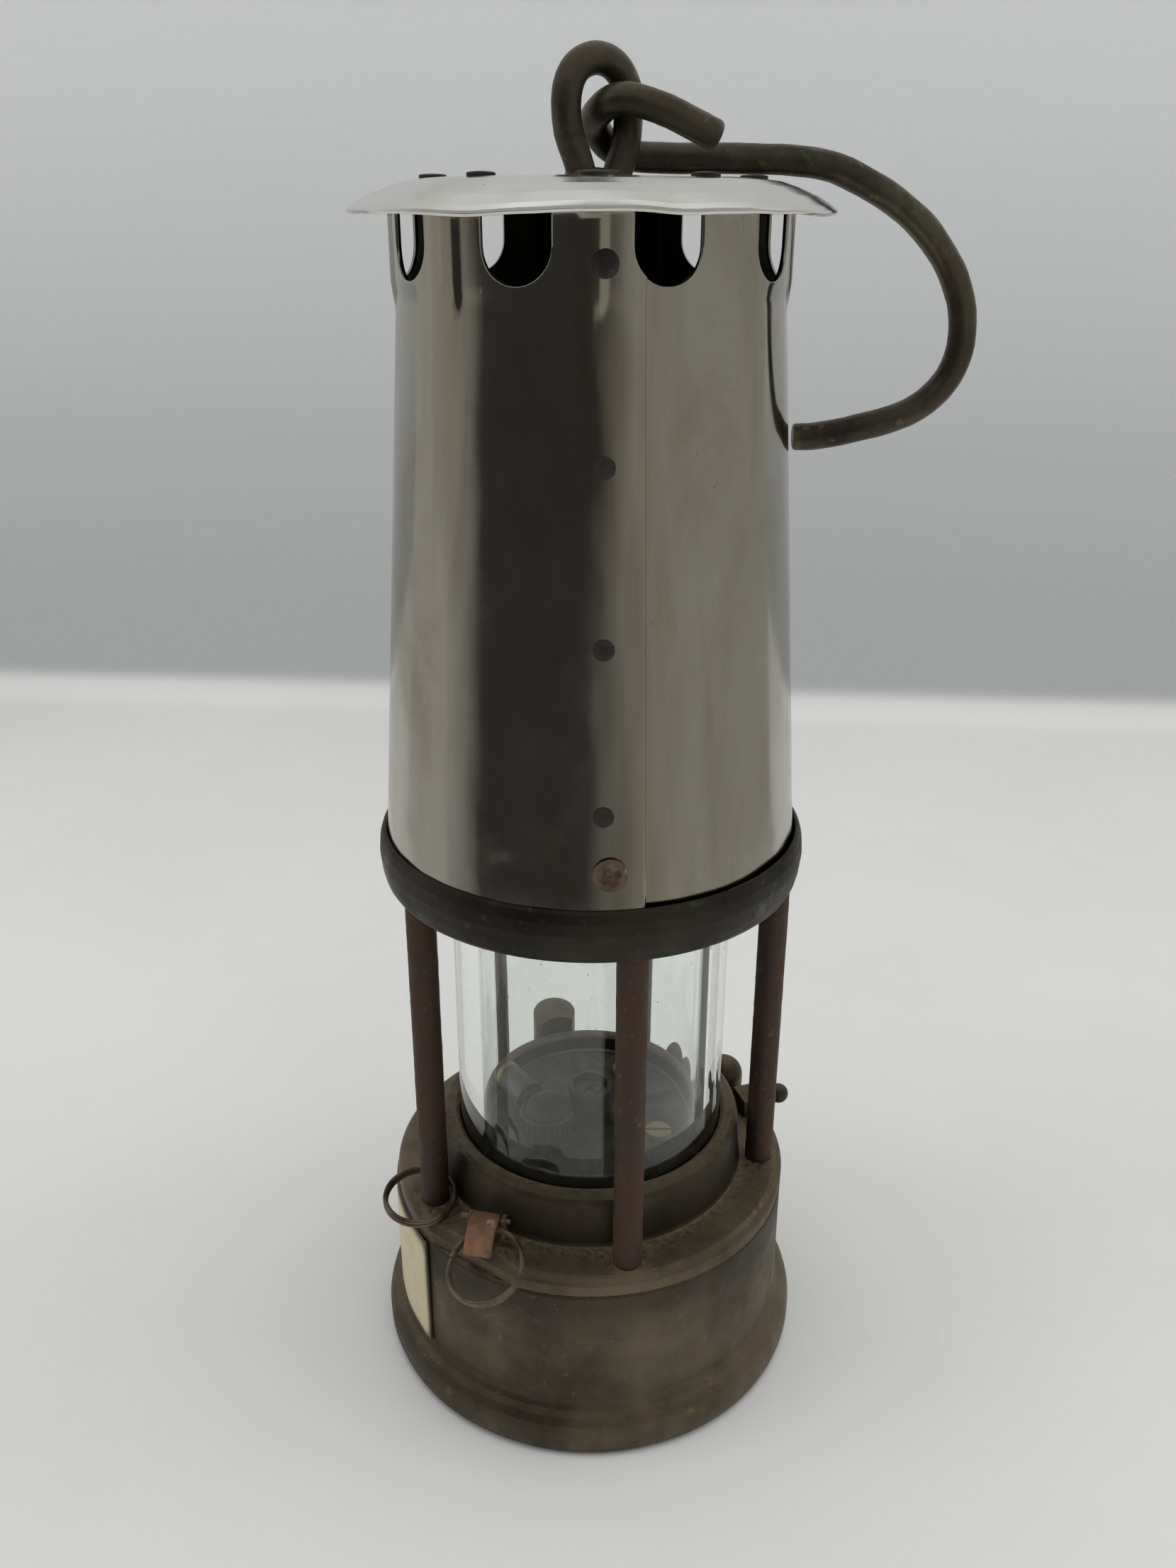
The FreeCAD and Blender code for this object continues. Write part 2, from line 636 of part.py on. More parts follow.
def hasp():
    """Arched strap round its hinge pin, drawn in section and given its width."""
    side = tangent(HASP_AZ)
    ahead = outward(HASP_AZ)
    outer = [
        (-1.2, 0.0), (-0.9, 0.9), (0.0, 1.4), (2.1, 1.6), (4.1, 1.0), (5.8, -0.2), (7.0, -1.7),
        (7.5, -3.2),
    ]
    inner = [
        (6.4, -3.4), (5.9, -2.1), (4.9, -0.9), (3.6, 0.1), (2.0, 0.4), (1.3, 0.1), (0.8, -0.55),
        (0.0, -1.0), (-0.8, -0.75),
    ]
    corners = []
    for along, rise in outer + inner:
        corners.append(hasp_pin_point() + ahead * along + UP * rise - side * (HASP_WIDTH / 2))
    corners.append(corners[0])
    strap = Part.Face(Part.makePolygon(corners)).extrude(side * HASP_WIDTH)
    return strap.cut(rod(PIN_R + RUNNING_GAP, 12.0, hasp_pin_point() - side * 6.0, side))


def hasp_ring():
    slope = math.radians(HASP_RING_SLOPE)
    axis = outward(HASP_RING_AZ) * math.cos(slope) + UP * math.sin(slope)
    return coil(HASP_RING_WIRE_R, HASP_RING_R, 2, FreeCAD.Vector(*HASP_RING_CENTRE), axis)


def pillar_ring():
    """Ring round the left pillar, its front edge dipping over the rim."""
    tilt = math.radians(PILLAR_RING_TILT)
    centre = polar(39.9, -60.2, RING_Z[1] + 1.95)
    return coil(PILLAR_RING_WIRE_R, PILLAR_RING_R, 2, centre, FreeCAD.Vector(0, -math.sin(tilt), math.cos(tilt)))


# --------------------------------------------------------- swivel and hook


def eye_point(u, z):
    a = math.radians(EYE_PLANE_AZ)
    return FreeCAD.Vector(u * math.cos(a), u * math.sin(a), z)


def swivel_eye():
    path = [
        (-1.9, 233.4), (-2.9, 236.2), (-4.3, 239.4), (-5.0, 242.6), (-4.9, 245.9), (-3.4, 249.2),
        (0.75, 250.9), (4.9, 249.2), (6.5, 245.9), (6.6, 242.6), (6.3, 239.4), (5.3, 236.2), (4.2, 233.4),
    ]
    loop = swept([eye_point(u, z) for u, z in path], WIRE_R)
    loop = loop.cut(rod(20.0, 10.0, FreeCAD.Vector(0, 0, 223.9), UP))
    collar = rod(4.6, 1.5, FreeCAD.Vector(0, 0, 233.8), UP)
    stud = rod(STUD_R, 8.0, FreeCAD.Vector(0, 0, 229.0), UP)
    return single(loop.fuse([collar, stud]).removeSplitter())


def swivel_nut():
    corners = [polar(4.6, 60.0 * i, 229.4) for i in range(7)]
    hexagon = Part.Face(Part.makePolygon(corners)).extrude(FreeCAD.Vector(0, 0, 2.6))
    return hexagon.cut(rod(STUD_R, 6.0, FreeCAD.Vector(0, 0, 228.0), UP))


def hook():
    path = [
        (19.7, -1.6, 239.7), (15.6, -2.6, 241.6), (11.6, -3.0, 243.3), (8.4, -3.0, 244.4),
        (5.3, -2.6, 245.0), (2.7, -1.4, 244.6), (1.2, 0.6, 243.7), (0.2, 4.7, 242.0),
        (2.0, 7.6, 239.3), (5.2, 8.8, 237.6), (9.5, 9.2, 237.05), (16.0, 8.7, 237.0),
        (22.0, 8.5, 236.95), (29.0, 8.5, 236.85), (36.0, 8.5, 236.4), (40.4, 8.5, 235.5),
        (44.9, 8.5, 233.7), (49.4, 8.5, 231.3), (54.0, 8.5, 228.2), (58.1, 8.5, 224.3),
        (61.1, 8.5, 220.2), (63.3, 8.5, 215.7), (64.4, 8.5, 211.1), (64.3, 8.5, 206.5),
        (62.7, 8.5, 201.9), (59.6, 8.5, 198.2), (55.3, 8.5, 195.6), (50.5, 8.5, 194.0),
        (45.2, 8.5, 192.7), (39.9, 8.5, 191.8), (36.0, 8.5, 191.6),
    ]
    return swept([FreeCAD.Vector(*point) for point in path], WIRE_R)


NODES = {
    "fuel_vessel": fuel_vessel,
    "vessel_floor": vessel_floor,
    "absorbent_wadding": absorbent_wadding,
    "label_plate": label_plate,
    "burner_plate": burner_plate,
    "plate_screws": plate_screws,
    "wick_tube": wick_tube,
    "wick_gland": wick_gland,
    "striker_sleeve": striker_sleeve,
    "flint_tube": flint_tube,
    "flint_tube_cap": flint_tube_cap,
    "flint": flint,
    "flint_spring": flint_spring,
    "wick_knob": wick_knob,
    "wick_carrier": wick_carrier,
    "wick": wick,
    "striker_wheel": striker_wheel,
    "striker_key": striker_key,
    "vessel_gasket": vessel_gasket,
    "lower_ring": lower_ring,
    "pillars": pillars,
    "glass_cylinder": glass_cylinder,
    "glass_seat_gaskets": glass_seat_gaskets,
    "gallery_ring": gallery_ring,
    "bonnet": bonnet,
    "bonnet_tongues": bonnet_tongues,
    "bonnet_tabs": bonnet_tabs,
    "seam_rivets": seam_rivets,
    "bonnet_screw": bonnet_screw,
    "bonnet_bracket": bonnet_bracket,
    "gauze_ring": gauze_ring,
    "inner_gauze": inner_gauze,
    "outer_gauze": outer_gauze,
    "cap": cap,
    "cap_rivets": cap_rivets,
    "lock_housing": lock_housing,
    "lock_plunger": lock_plunger,
    "lock_spring": lock_spring,
    "air_valve_body": air_valve_body,
    "air_valve_nozzle": air_valve_nozzle,
    "hasp_ears": hasp_ears,
    "hasp_pin": hasp_pin,
    "hasp": hasp,
    "hasp_ring": hasp_ring,
    "pillar_ring": pillar_ring,
    "swivel_eye": swivel_eye,
    "swivel_nut": swivel_nut,
    "hook": hook,
}

os.makedirs("parts", exist_ok=True)
for name, make in NODES.items():
    make().exportStep("parts/" + name + ".step")
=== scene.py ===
import math

import bmesh
import bpy
import numpy as np
from mathutils import Matrix, Vector, noise


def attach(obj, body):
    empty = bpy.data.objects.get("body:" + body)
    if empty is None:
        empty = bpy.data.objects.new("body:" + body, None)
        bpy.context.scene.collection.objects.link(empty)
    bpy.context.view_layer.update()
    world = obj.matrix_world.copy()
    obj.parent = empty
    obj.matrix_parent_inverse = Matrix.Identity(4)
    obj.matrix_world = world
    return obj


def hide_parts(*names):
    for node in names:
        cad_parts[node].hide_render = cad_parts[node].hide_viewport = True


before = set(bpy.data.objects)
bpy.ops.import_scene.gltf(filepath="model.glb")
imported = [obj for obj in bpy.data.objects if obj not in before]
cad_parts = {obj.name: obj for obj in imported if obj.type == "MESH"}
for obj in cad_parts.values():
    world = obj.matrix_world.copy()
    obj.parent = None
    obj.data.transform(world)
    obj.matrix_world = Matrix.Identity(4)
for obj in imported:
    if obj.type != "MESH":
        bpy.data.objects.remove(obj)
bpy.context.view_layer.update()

MM = 0.001

# ------------------------------------------------------------------ camera

CAMERA_PLACE = (0.0, -235.68, 228.31)
CAMERA_PITCH = 0.4054
CAMERA_YAW = -0.0026
CAMERA_ROLL = 0.0025
CAMERA_LENS = 30.46


def make_camera():
    forward = Vector((
        math.sin(CAMERA_YAW) * math.cos(CAMERA_PITCH),
        math.cos(CAMERA_YAW) * math.cos(CAMERA_PITCH),
        -math.sin(CAMERA_PITCH),
    ))
    right = forward.cross(Vector((0, 0, 1))).normalized()
    up = right.cross(forward)
    right, up = (
        math.cos(CAMERA_ROLL) * right + math.sin(CAMERA_ROLL) * up,
        math.cos(CAMERA_ROLL) * up - math.sin(CAMERA_ROLL) * right,
    )
    data = bpy.data.cameras.new("camera")
    data.lens = CAMERA_LENS
    data.sensor_width = 36.0
    data.clip_start = 0.005
    data.clip_end = 20.0
    camera = bpy.data.objects.new("camera", data)
    place = Matrix((right, up, -forward)).transposed().to_4x4()
    place.translation = Vector(CAMERA_PLACE) * MM
    camera.matrix_world = place
    bpy.context.collection.objects.link(camera)
    bpy.context.scene.camera = camera


make_camera()

# --------------------------------------------------------------- materials


def linear(r, g, b):
    """sRGB 0-255 to the shader's linear colour."""
    out = []
    for value in (r, g, b):
        v = value / 255.0
        out.append(v / 12.92 if v <= 0.04045 else ((v + 0.055) / 1.055) ** 2.4)
    return (*out, 1.0)


class Shader:
    """A short way to write a node tree that ends in one principled shader."""

    def __init__(self, name):
        self.material = bpy.data.materials.new(name)
        self.material.use_nodes = True
        self.tree = self.material.node_tree
        self.tree.nodes.clear()
        self.out = self.tree.nodes.new("ShaderNodeOutputMaterial")
        self.bsdf = self.tree.nodes.new("ShaderNodeBsdfPrincipled")
        self.link(self.bsdf.outputs[0], self.out.inputs["Surface"])
        self.coords = self.tree.nodes.new("ShaderNodeTexCoord").outputs["Object"]

    def link(self, source, target):
        self.tree.links.new(source, target)

    def put(self, value, target):
        if isinstance(value, bpy.types.NodeSocket):
            self.link(value, target)
        else:
            target.default_value = value

    def set(self, **values):
        for key, value in values.items():
            self.put(value, self.bsdf.inputs[key.replace("_", " ")])

    def stretched(self, x, y, z):
        node = self.tree.nodes.new("ShaderNodeMapping")
        self.link(self.coords, node.inputs["Vector"])
        node.inputs["Scale"].default_value = (x, y, z)
        return node.outputs[0]

    def noise(self, scale, detail=4.0, rough=0.55, stretch=None, distortion=0.0):
        node = self.tree.nodes.new("ShaderNodeTexNoise")
        self.link(self.stretched(*stretch) if stretch else self.coords, node.inputs["Vector"])
        node.inputs["Scale"].default_value = scale
        node.inputs["Detail"].default_value = detail
        node.inputs["Roughness"].default_value = rough
        node.inputs["Distortion"].default_value = distortion
        return node.outputs["Fac"]

    def ramp(self, value, low, high, to_low=0.0, to_high=1.0):
        node = self.tree.nodes.new("ShaderNodeMapRange")
        node.interpolation_type = "SMOOTHSTEP"
        self.link(value, node.inputs["Value"])
        node.inputs["From Min"].default_value = low
        node.inputs["From Max"].default_value = high
        node.inputs["To Min"].default_value = to_low
        node.inputs["To Max"].default_value = to_high
        return node.outputs[0]

    def math(self, kind, a, b=0.0):
        node = self.tree.nodes.new("ShaderNodeMath")
        node.operation = kind
        self.put(a, node.inputs[0])
        self.put(b, node.inputs[1])
        return node.outputs[0]

    def mix(self, factor, a, b):
        node = self.tree.nodes.new("ShaderNodeMix")
        node.data_type = "RGBA"
        self.put(factor, node.inputs[0])
        self.put(a, node.inputs[6])
        self.put(b, node.inputs[7])
        return node.outputs[2]

    def worn_edges(self, low=0.5, high=0.56):
        geometry = self.tree.nodes.new("ShaderNodeNewGeometry")
        return self.ramp(geometry.outputs["Pointiness"], low, high)

    def upward(self, low, high):
        geometry = self.tree.nodes.new("ShaderNodeNewGeometry")
        split = self.tree.nodes.new("ShaderNodeSeparateXYZ")
        self.link(geometry.outputs["Normal"], split.inputs[0])
        return self.ramp(split.outputs["Z"], low, high)

    def height(self, low, high, to_low=0.0, to_high=1.0):
        """Value that changes with the height above the floor, in millimetres."""
        split = self.tree.nodes.new("ShaderNodeSeparateXYZ")
        self.link(self.coords, split.inputs[0])
        return self.ramp(split.outputs["Z"], low * MM, high * MM, to_low, to_high)

    def inner_side(self):
        """One on the faces of a round shell that look towards its axis."""
        normal = self.tree.nodes.new("ShaderNodeTexCoord").outputs["Normal"]
        dot = self.tree.nodes.new("ShaderNodeVectorMath")
        dot.operation = "DOT_PRODUCT"
        self.link(normal, dot.inputs[0])
        self.link(self.stretched(1.0, 1.0, 0.0), dot.inputs[1])
        return self.ramp(dot.outputs["Value"], 0.0, -0.002)

    def corners(self, distance):
        node = self.tree.nodes.new("ShaderNodeAmbientOcclusion")
        node.samples = 6
        node.inputs["Distance"].default_value = distance
        return self.ramp(node.outputs["AO"], 0.95, 0.45)

    def bump(self, height, distance, strength=1.0, under=None):
        node = self.tree.nodes.new("ShaderNodeBump")
        node.inputs["Distance"].default_value = distance
        node.inputs["Strength"].default_value = strength
        self.link(height, node.inputs["Height"])
        if under:
            self.link(under, node.inputs["Normal"])
        return node.outputs[0]


def patina(name, dark, light, bare, metallic=0.75, rough=(0.42, 0.62), dusty=False, green=0.0, bands=()):
    """Old handled brass or bronze: clouded colour, rubbed edges, fine scratches.

    Each band (from, to, level) darkens the colour with height, in millimetres.
    """
    s = Shader(name)
    cloud = s.ramp(s.noise(38.0, 6.0, 0.62), 0.36, 0.66)
    streak = s.ramp(s.noise(60.0, 3.0, 0.5, (1.0, 1.0, 0.12)), 0.4, 0.7)
    blend = s.math("ADD", s.math("MULTIPLY", cloud, 0.6), s.math("MULTIPLY", streak, 0.35))
    colour = s.mix(blend, dark, light)
    spots = s.ramp(s.noise(420.0, 3.0, 0.6), 0.62, 0.74)
    colour = s.mix(s.math("MULTIPLY", spots, 0.45), colour, bare)
    rubbed = s.math("MULTIPLY", s.worn_edges(), s.ramp(s.noise(160.0, 4.0), 0.35, 0.6))
    colour = s.mix(s.math("MULTIPLY", rubbed, 0.7), colour, bare)
    roughness = s.ramp(s.noise(90.0, 5.0, 0.6), 0.3, 0.7, rough[0], rough[1])
    metal = metallic
    if green:
        verdigris = s.math("MULTIPLY", s.ramp(s.noise(75.0, 4.0, 0.7), 0.60, 0.70), green)
        colour = s.mix(verdigris, colour, linear(96, 104, 78))
    for low, high, level in bands:
        colour = s.mix(s.height(low, high, 0.0, level), colour, linear(22, 20, 16))
    if dusty:
        film = s.math(
            "MULTIPLY", s.upward(0.55, 0.95), s.ramp(s.noise(300.0, 5.0, 0.7), 0.3, 0.6, 0.15, 0.55)
        )
        colour = s.mix(film, colour, linear(112, 101, 80))
        grit = s.math("MULTIPLY", s.corners(0.006), s.upward(0.3, 0.9))
        grit = s.math("MULTIPLY", grit, s.ramp(s.noise(900.0, 3.0, 0.7), 0.35, 0.62))
        colour = s.mix(grit, colour, linear(104, 90, 70))
        metal = s.math("MULTIPLY", s.math("SUBTRACT", 1.0, grit), metallic)
        roughness = s.math("MAXIMUM", roughness, grit)
    scratches = s.noise(240.0, 2.0, 0.5, (1.0, 1.0, 7.0))
    grain = s.noise(1500.0, 2.0, 0.6)
    normal = s.bump(scratches, 0.00006, 0.35)
    normal = s.bump(grain, 0.00005, 0.5, normal)
    s.set(Base_Color=colour, Metallic=metal, Roughness=roughness, Normal=normal)
    return s.material


def mirror_steel(name, colour, tarnish, rough=(0.08, 0.24), amount=0.6, sooted=False):
    """Polished sheet with clouded tarnish, rolling streaks and fine scratches."""
    s = Shader(name)
    clouds = s.ramp(s.noise(22.0, 7.0, 0.65, (1.0, 1.0, 0.55), 0.6), 0.45, 0.72)
    streaks = s.ramp(s.noise(70.0, 4.0, 0.6, (1.0, 1.0, 0.07)), 0.46, 0.74)
    stain = s.math("MULTIPLY", s.math("MAXIMUM", clouds, streaks), amount)
    paint = s.mix(stain, colour, tarnish)
    specks = s.ramp(s.noise(700.0, 4.0, 0.7), 0.66, 0.76)
    specks = s.math("MULTIPLY", specks, s.ramp(s.noise(30.0, 3.0), 0.42, 0.62))
    paint = s.mix(s.math("MULTIPLY", specks, 0.7), paint, linear(92, 80, 62))
    haze = s.ramp(s.noise(26.0, 6.0, 0.7, (1.0, 1.0, 0.8)), 0.35, 0.7, rough[0], rough[1])
    roughness = s.math("ADD", haze, s.math("MULTIPLY", specks, 0.25))
    sleeks = s.noise(380.0, 3.0, 0.6, (1.0, 1.0, 0.05))
    pull = s.noise(60.0, 2.0, 0.5, (1.0, 1.0, 0.3))
    normal = s.bump(sleeks, 0.00002, 0.25)
    normal = s.bump(pull, 0.0001, 0.3, normal)
    if sooted:
        inside = s.inner_side()
        soot = s.mix(s.noise(60.0, 5.0, 0.6), linear(10, 10, 9), linear(44, 42, 38))
        paint = s.mix(inside, paint, soot)
        roughness = s.math("MAXIMUM", roughness, s.math("MULTIPLY", inside, 0.45))
    s.set(Base_Color=paint, Metallic=1.0, Roughness=roughness, Normal=normal)
    return s.material


def rust(name, dark, light, bright, pit=0.0002):
    s = Shader(name)
    tone = s.ramp(s.noise(180.0, 7.0, 0.68, (1.0, 1.0, 0.4)), 0.34, 0.68)
    colour = s.mix(tone, dark, light)
    flecks = s.ramp(s.noise(520.0, 5.0, 0.7), 0.58, 0.72)
    colour = s.mix(s.math("MULTIPLY", flecks, 0.75), colour, bright)
    pits = s.noise(650.0, 6.0, 0.75)
    roughness = s.ramp(tone, 0.0, 1.0, 0.52, 0.82)
    s.set(Base_Color=colour, Metallic=0.25, Roughness=roughness, Normal=s.bump(pits, pit, 0.7))
    return s.material


def plain(name, low, high, scale, roughness=0.7, metallic=0.0, relief=0.0001):
    """Mottled surface for small inner pieces."""
    s = Shader(name)
    tone = s.ramp(s.noise(scale, 5.0, 0.6), 0.35, 0.65)
    grain = s.noise(scale * 4.0, 4.0, 0.6)
    s.set(Base_Color=s.mix(tone, low, high), Metallic=metallic, Normal=s.bump(grain, relief, 0.6))
    s.set(Roughness=s.ramp(grain, 0.3, 0.7, roughness * 0.85, min(1.0, roughness * 1.15)))
    return s.material


def dusty_glass(name):
    s = Shader(name)
    s.set(Base_Color=(0.955, 0.985, 0.965, 1.0), IOR=1.5, Roughness=0.0)
    s.bsdf.inputs["Transmission Weight"].default_value = 1.0
    dirt = s.tree.nodes.new("ShaderNodeBsdfDiffuse")
    dirt.inputs["Color"].default_value = linear(128, 122, 104)
    specks = s.ramp(s.noise(520.0, 4.0, 0.7), 0.665, 0.72)
    runs = s.ramp(s.noise(120.0, 5.0, 0.7, (1.0, 1.0, 0.22)), 0.56, 0.8)
    film = s.math("MULTIPLY", runs, 0.10)
    cover = s.math("MAXIMUM", s.math("MULTIPLY", specks, 0.65), film)
    mixed = s.tree.nodes.new("ShaderNodeMixShader")
    s.link(cover, mixed.inputs[0])
    s.link(s.bsdf.outputs[0], mixed.inputs[1])
    s.link(dirt.outputs[0], mixed.inputs[2])
    s.link(mixed.outputs[0], s.out.inputs["Surface"])
    return s.material


def woven_gauze(name):
    """Wire cloth: the holes between the wires let light through."""
    s = Shader(name)
    waves = []
    for axis, scale in (("Z", 1100.0), ("X", 1100.0)):
        node = s.tree.nodes.new("ShaderNodeTexWave")
        node.bands_direction = axis
        s.link(s.coords, node.inputs["Vector"])
        node.inputs["Scale"].default_value = scale
        waves.append(s.ramp(node.outputs["Fac"], 0.3, 0.5))
    cover = s.math("MAXIMUM", waves[0], waves[1])
    tone = s.noise(120.0, 4.0)
    s.set(Base_Color=s.mix(tone, linear(38, 34, 30), linear(92, 82, 70)), Metallic=0.6, Roughness=0.55)
    s.set(Alpha=s.math("MAXIMUM", cover, 0.25), Normal=s.bump(cover, 0.0002))
    return s.material


def enamel_label(name):
    s = Shader(name)
    stain = s.ramp(s.noise(70.0, 6.0, 0.65), 0.45, 0.75)
    colour = s.mix(s.math("MULTIPLY", stain, 0.55), linear(196, 184, 148), linear(140, 124, 88))
    fine = s.ramp(s.noise(600.0, 4.0, 0.7), 0.62, 0.75)
    colour = s.mix(s.math("MULTIPLY", fine, 0.5), colour, linear(96, 82, 58))
    colour = s.mix(s.worn_edges(0.51, 0.6), colour, linear(84, 74, 56))
    roughness = s.ramp(s.noise(200.0, 4.0), 0.3, 0.7, 0.35, 0.55)
    s.set(Base_Color=colour, Roughness=roughness, Normal=s.bump(s.noise(400.0, 3.0), 0.00005, 0.5))
    return s.material


def paper(name):
    s = Shader(name)
    tone = s.ramp(s.noise(3.0, 5.0, 0.6), 0.35, 0.65)
    floor = s.mix(tone, (0.60, 0.60, 0.585, 1.0), (0.64, 0.64, 0.63, 1.0))
    # Painted shade: the upright wall is coloured darker than the floor, darkest near its foot and lighter
    # towards its top, where more light falls from above.
    wall = s.mix(s.height(30.0, 330.0), (0.44, 0.452, 0.455, 1.0), (0.64, 0.645, 0.65, 1.0))
    colour = s.mix(s.upward(0.15, 0.6), wall, floor)
    marks = s.ramp(s.noise(45.0, 6.0, 0.75), 0.70, 0.78)
    colour = s.mix(s.math("MULTIPLY", marks, 0.18), colour, linear(150, 146, 138))
    folds = s.noise(14.0, 4.0, 0.6, (0.25, 1.0, 1.0))
    laid = s.noise(420.0, 3.0, 0.6, (0.05, 1.0, 1.0))
    normal = s.bump(laid, 0.0002, 0.25, s.bump(folds, 0.0012, 0.35))
    s.set(Base_Color=colour, Roughness=0.75, Normal=normal)
    return s.material


M_VESSEL = patina(
    "vessel_brass", linear(67, 60, 48), linear(115, 103, 83), linear(140, 118, 84), dusty=True,
    bands=((26.0, 37.0, 0.45),),
)
M_FRAME = patina(
    "frame_brass", linear(72, 64, 51), linear(124, 110, 88), linear(146, 124, 90), dusty=True,
    bands=((42.2, 43.5, 0.62),),
)
M_GALLERY = patina("dark_brass", linear(36, 34, 29), linear(64, 60, 51), linear(98, 84, 60), green=0.5)
M_BRONZE = patina(
    "bronze_wire", linear(50, 46, 39), linear(94, 87, 72), linear(134, 122, 98),
    rough=(0.32, 0.5), green=0.7,
)
M_BRASS = patina("inner_brass", linear(96, 88, 64), linear(150, 136, 98), linear(176, 160, 120))
M_SOOT = patina("sooted_brass", linear(44, 44, 41), linear(70, 70, 65), linear(98, 94, 82), metallic=0.5)
M_STEEL = mirror_steel("polished_steel", linear(174, 171, 162), linear(134, 123, 98), sooted=True)
M_CAP = mirror_steel("cap_steel", linear(216, 215, 210), linear(178, 172, 156), (0.10, 0.24), 0.4)
M_PILLAR = rust("pillar_steel", linear(50, 34, 24), linear(80, 54, 38), linear(110, 76, 54), 0.00012)
M_RIVET = rust("rivet_steel", linear(34, 32, 28), linear(58, 54, 47), linear(84, 74, 60), 0.0001)
M_SCREW = rust("screw_rust", linear(70, 54, 44), linear(112, 92, 76), linear(190, 172, 158), 0.0002)
M_STRAP = rust("copper_strap", linear(94, 70, 52), linear(146, 108, 80), linear(172, 150, 130), 0.00012)
M_RING = patina("ring_wire", linear(52, 44, 36), linear(100, 82, 66), linear(160, 142, 122))
M_GLASS = dusty_glass("clear_glass")
M_GAUZE = woven_gauze("gauze_wire")
M_RUBBER = plain("gasket", linear(30, 27, 24), linear(52, 46, 40), 300.0, 0.8)
M_WADDING = plain("wadding", linear(170, 158, 130), linear(214, 204, 178), 200.0, 0.95, relief=0.0006)
M_WICK = plain("wick_cotton", linear(26, 22, 18), linear(110, 98, 80), 500.0, 0.95, relief=0.0003)
M_FLINT = plain("flint", linear(70, 68, 66), linear(110, 106, 100), 500.0, 0.6, 0.5)
M_LABEL = enamel_label("label_enamel")

# ------------------------------------------------------------ mesh building

SHARP = math.radians(38.0)


def wobble(x, y, z, scale, seed=0.0):
    return noise.noise(Vector((x * scale + seed, y * scale - seed, z * scale + 2.0 * seed)))


def add_piece(name, verts, faces, body, material, nodes=(), merge=True):
    """A mesh from points in millimetres that rides on a body and may replace CAD nodes."""
    mesh = bpy.data.meshes.new(name)
    mesh.from_pydata([tuple(c * MM for c in v) for v in verts], [], faces)
    bm = bmesh.new()
    bm.from_mesh(mesh)
    if merge:
        bmesh.ops.remove_doubles(bm, verts=bm.verts, dist=1e-7)
    bmesh.ops.dissolve_degenerate(bm, edges=bm.edges, dist=1e-8)
    bmesh.ops.recalc_face_normals(bm, faces=bm.faces)
    bm.to_mesh(mesh)
    bm.free()
    mesh.shade_smooth()
    mesh.set_sharp_from_angle(angle=SHARP)
    mesh.materials.append(material)
    piece = bpy.data.objects.new(name, mesh)
    bpy.context.collection.objects.link(piece)
    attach(piece, body)
    if nodes:
        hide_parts(*nodes)
    return piece


def rounded(points, radius, steps=4):
    """Closed outline with its corners rounded; a point may give its own radius."""
    count = len(points)
    out = []
    for i in range(count):
        p = Vector(points[i][:2])
        a = Vector(points[i - 1][:2])
        b = Vector(points[(i + 1) % count][:2])
        r = points[i][2] if len(points[i]) > 2 else radius
        to_a, to_b = (a - p), (b - p)
        if r <= 0 or to_a.length < 1e-6 or to_b.length < 1e-6:
            out.append(tuple(p))
            continue
        angle = to_a.angle(to_b)
        if angle > math.radians(176.0):
            out.append(tuple(p))
            continue
        reach = min(r / math.tan(angle / 2), 0.45 * to_a.length, 0.45 * to_b.length)
        start = p + to_a.normalized() * reach
        end = p + to_b.normalized() * reach
        for k in range(steps + 1):
            t = k / steps
            out.append(tuple((1 - t) ** 2 * start + 2 * t * (1 - t) * p + t * t * end))
    return out


def densified(points, longest):
    """The same outline with long runs divided, so that a warp can bend them."""
    out = []
    for i, p in enumerate(points):
        q = points[(i + 1) % len(points)]
        parts = max(1, math.ceil(math.dist(p, q) / longest))
        for k in range(parts):
            t = k / parts
            out.append((p[0] + (q[0] - p[0]) * t, p[1] + (q[1] - p[1]) * t))
    return out


def lathe(profile, segments=192, radius=0.3, warp=None, longest=3.0):
    """Solid of revolution from a closed outline, each point moved by an optional warp."""
    outline = densified(rounded(profile, radius), longest)
    verts = []
    faces = []
    count = len(outline)
    for j in range(segments):
        a = 2 * math.pi * j / segments
        for r, z in outline:
            v = (r * math.sin(a), -r * math.cos(a), z)
            verts.append(warp(*v) if warp and r > 1e-6 else v)
    for j in range(segments):
        n = (j + 1) % segments
        for i in range(count):
            k = (i + 1) % count
            faces.append((j * count + i, n * count + i, n * count + k, j * count + k))
    return verts, faces


def placed(verts, origin, direction, roll=0.0):
    """Points built about +Z, moved so that Z points along a direction from an origin."""
    turn = Vector(direction).to_track_quat("Z", "Y").to_matrix() @ Matrix.Rotation(roll, 3, "Z")
    start = Vector(origin)
    return [tuple(turn @ Vector(v) + start) for v in verts]


def joined(parts):
    verts = []
    faces = []
    for some_verts, some_faces in parts:
        start = len(verts)
        verts.extend(some_verts)
        faces.extend([tuple(i + start for i in f) for f in some_faces])
    return verts, faces


def polar(radius, azimuth, z):
    a = math.radians(azimuth)
    return (radius * math.sin(a), -radius * math.cos(a), z)


def outward(azimuth):
    return polar(1.0, azimuth, 0.0)


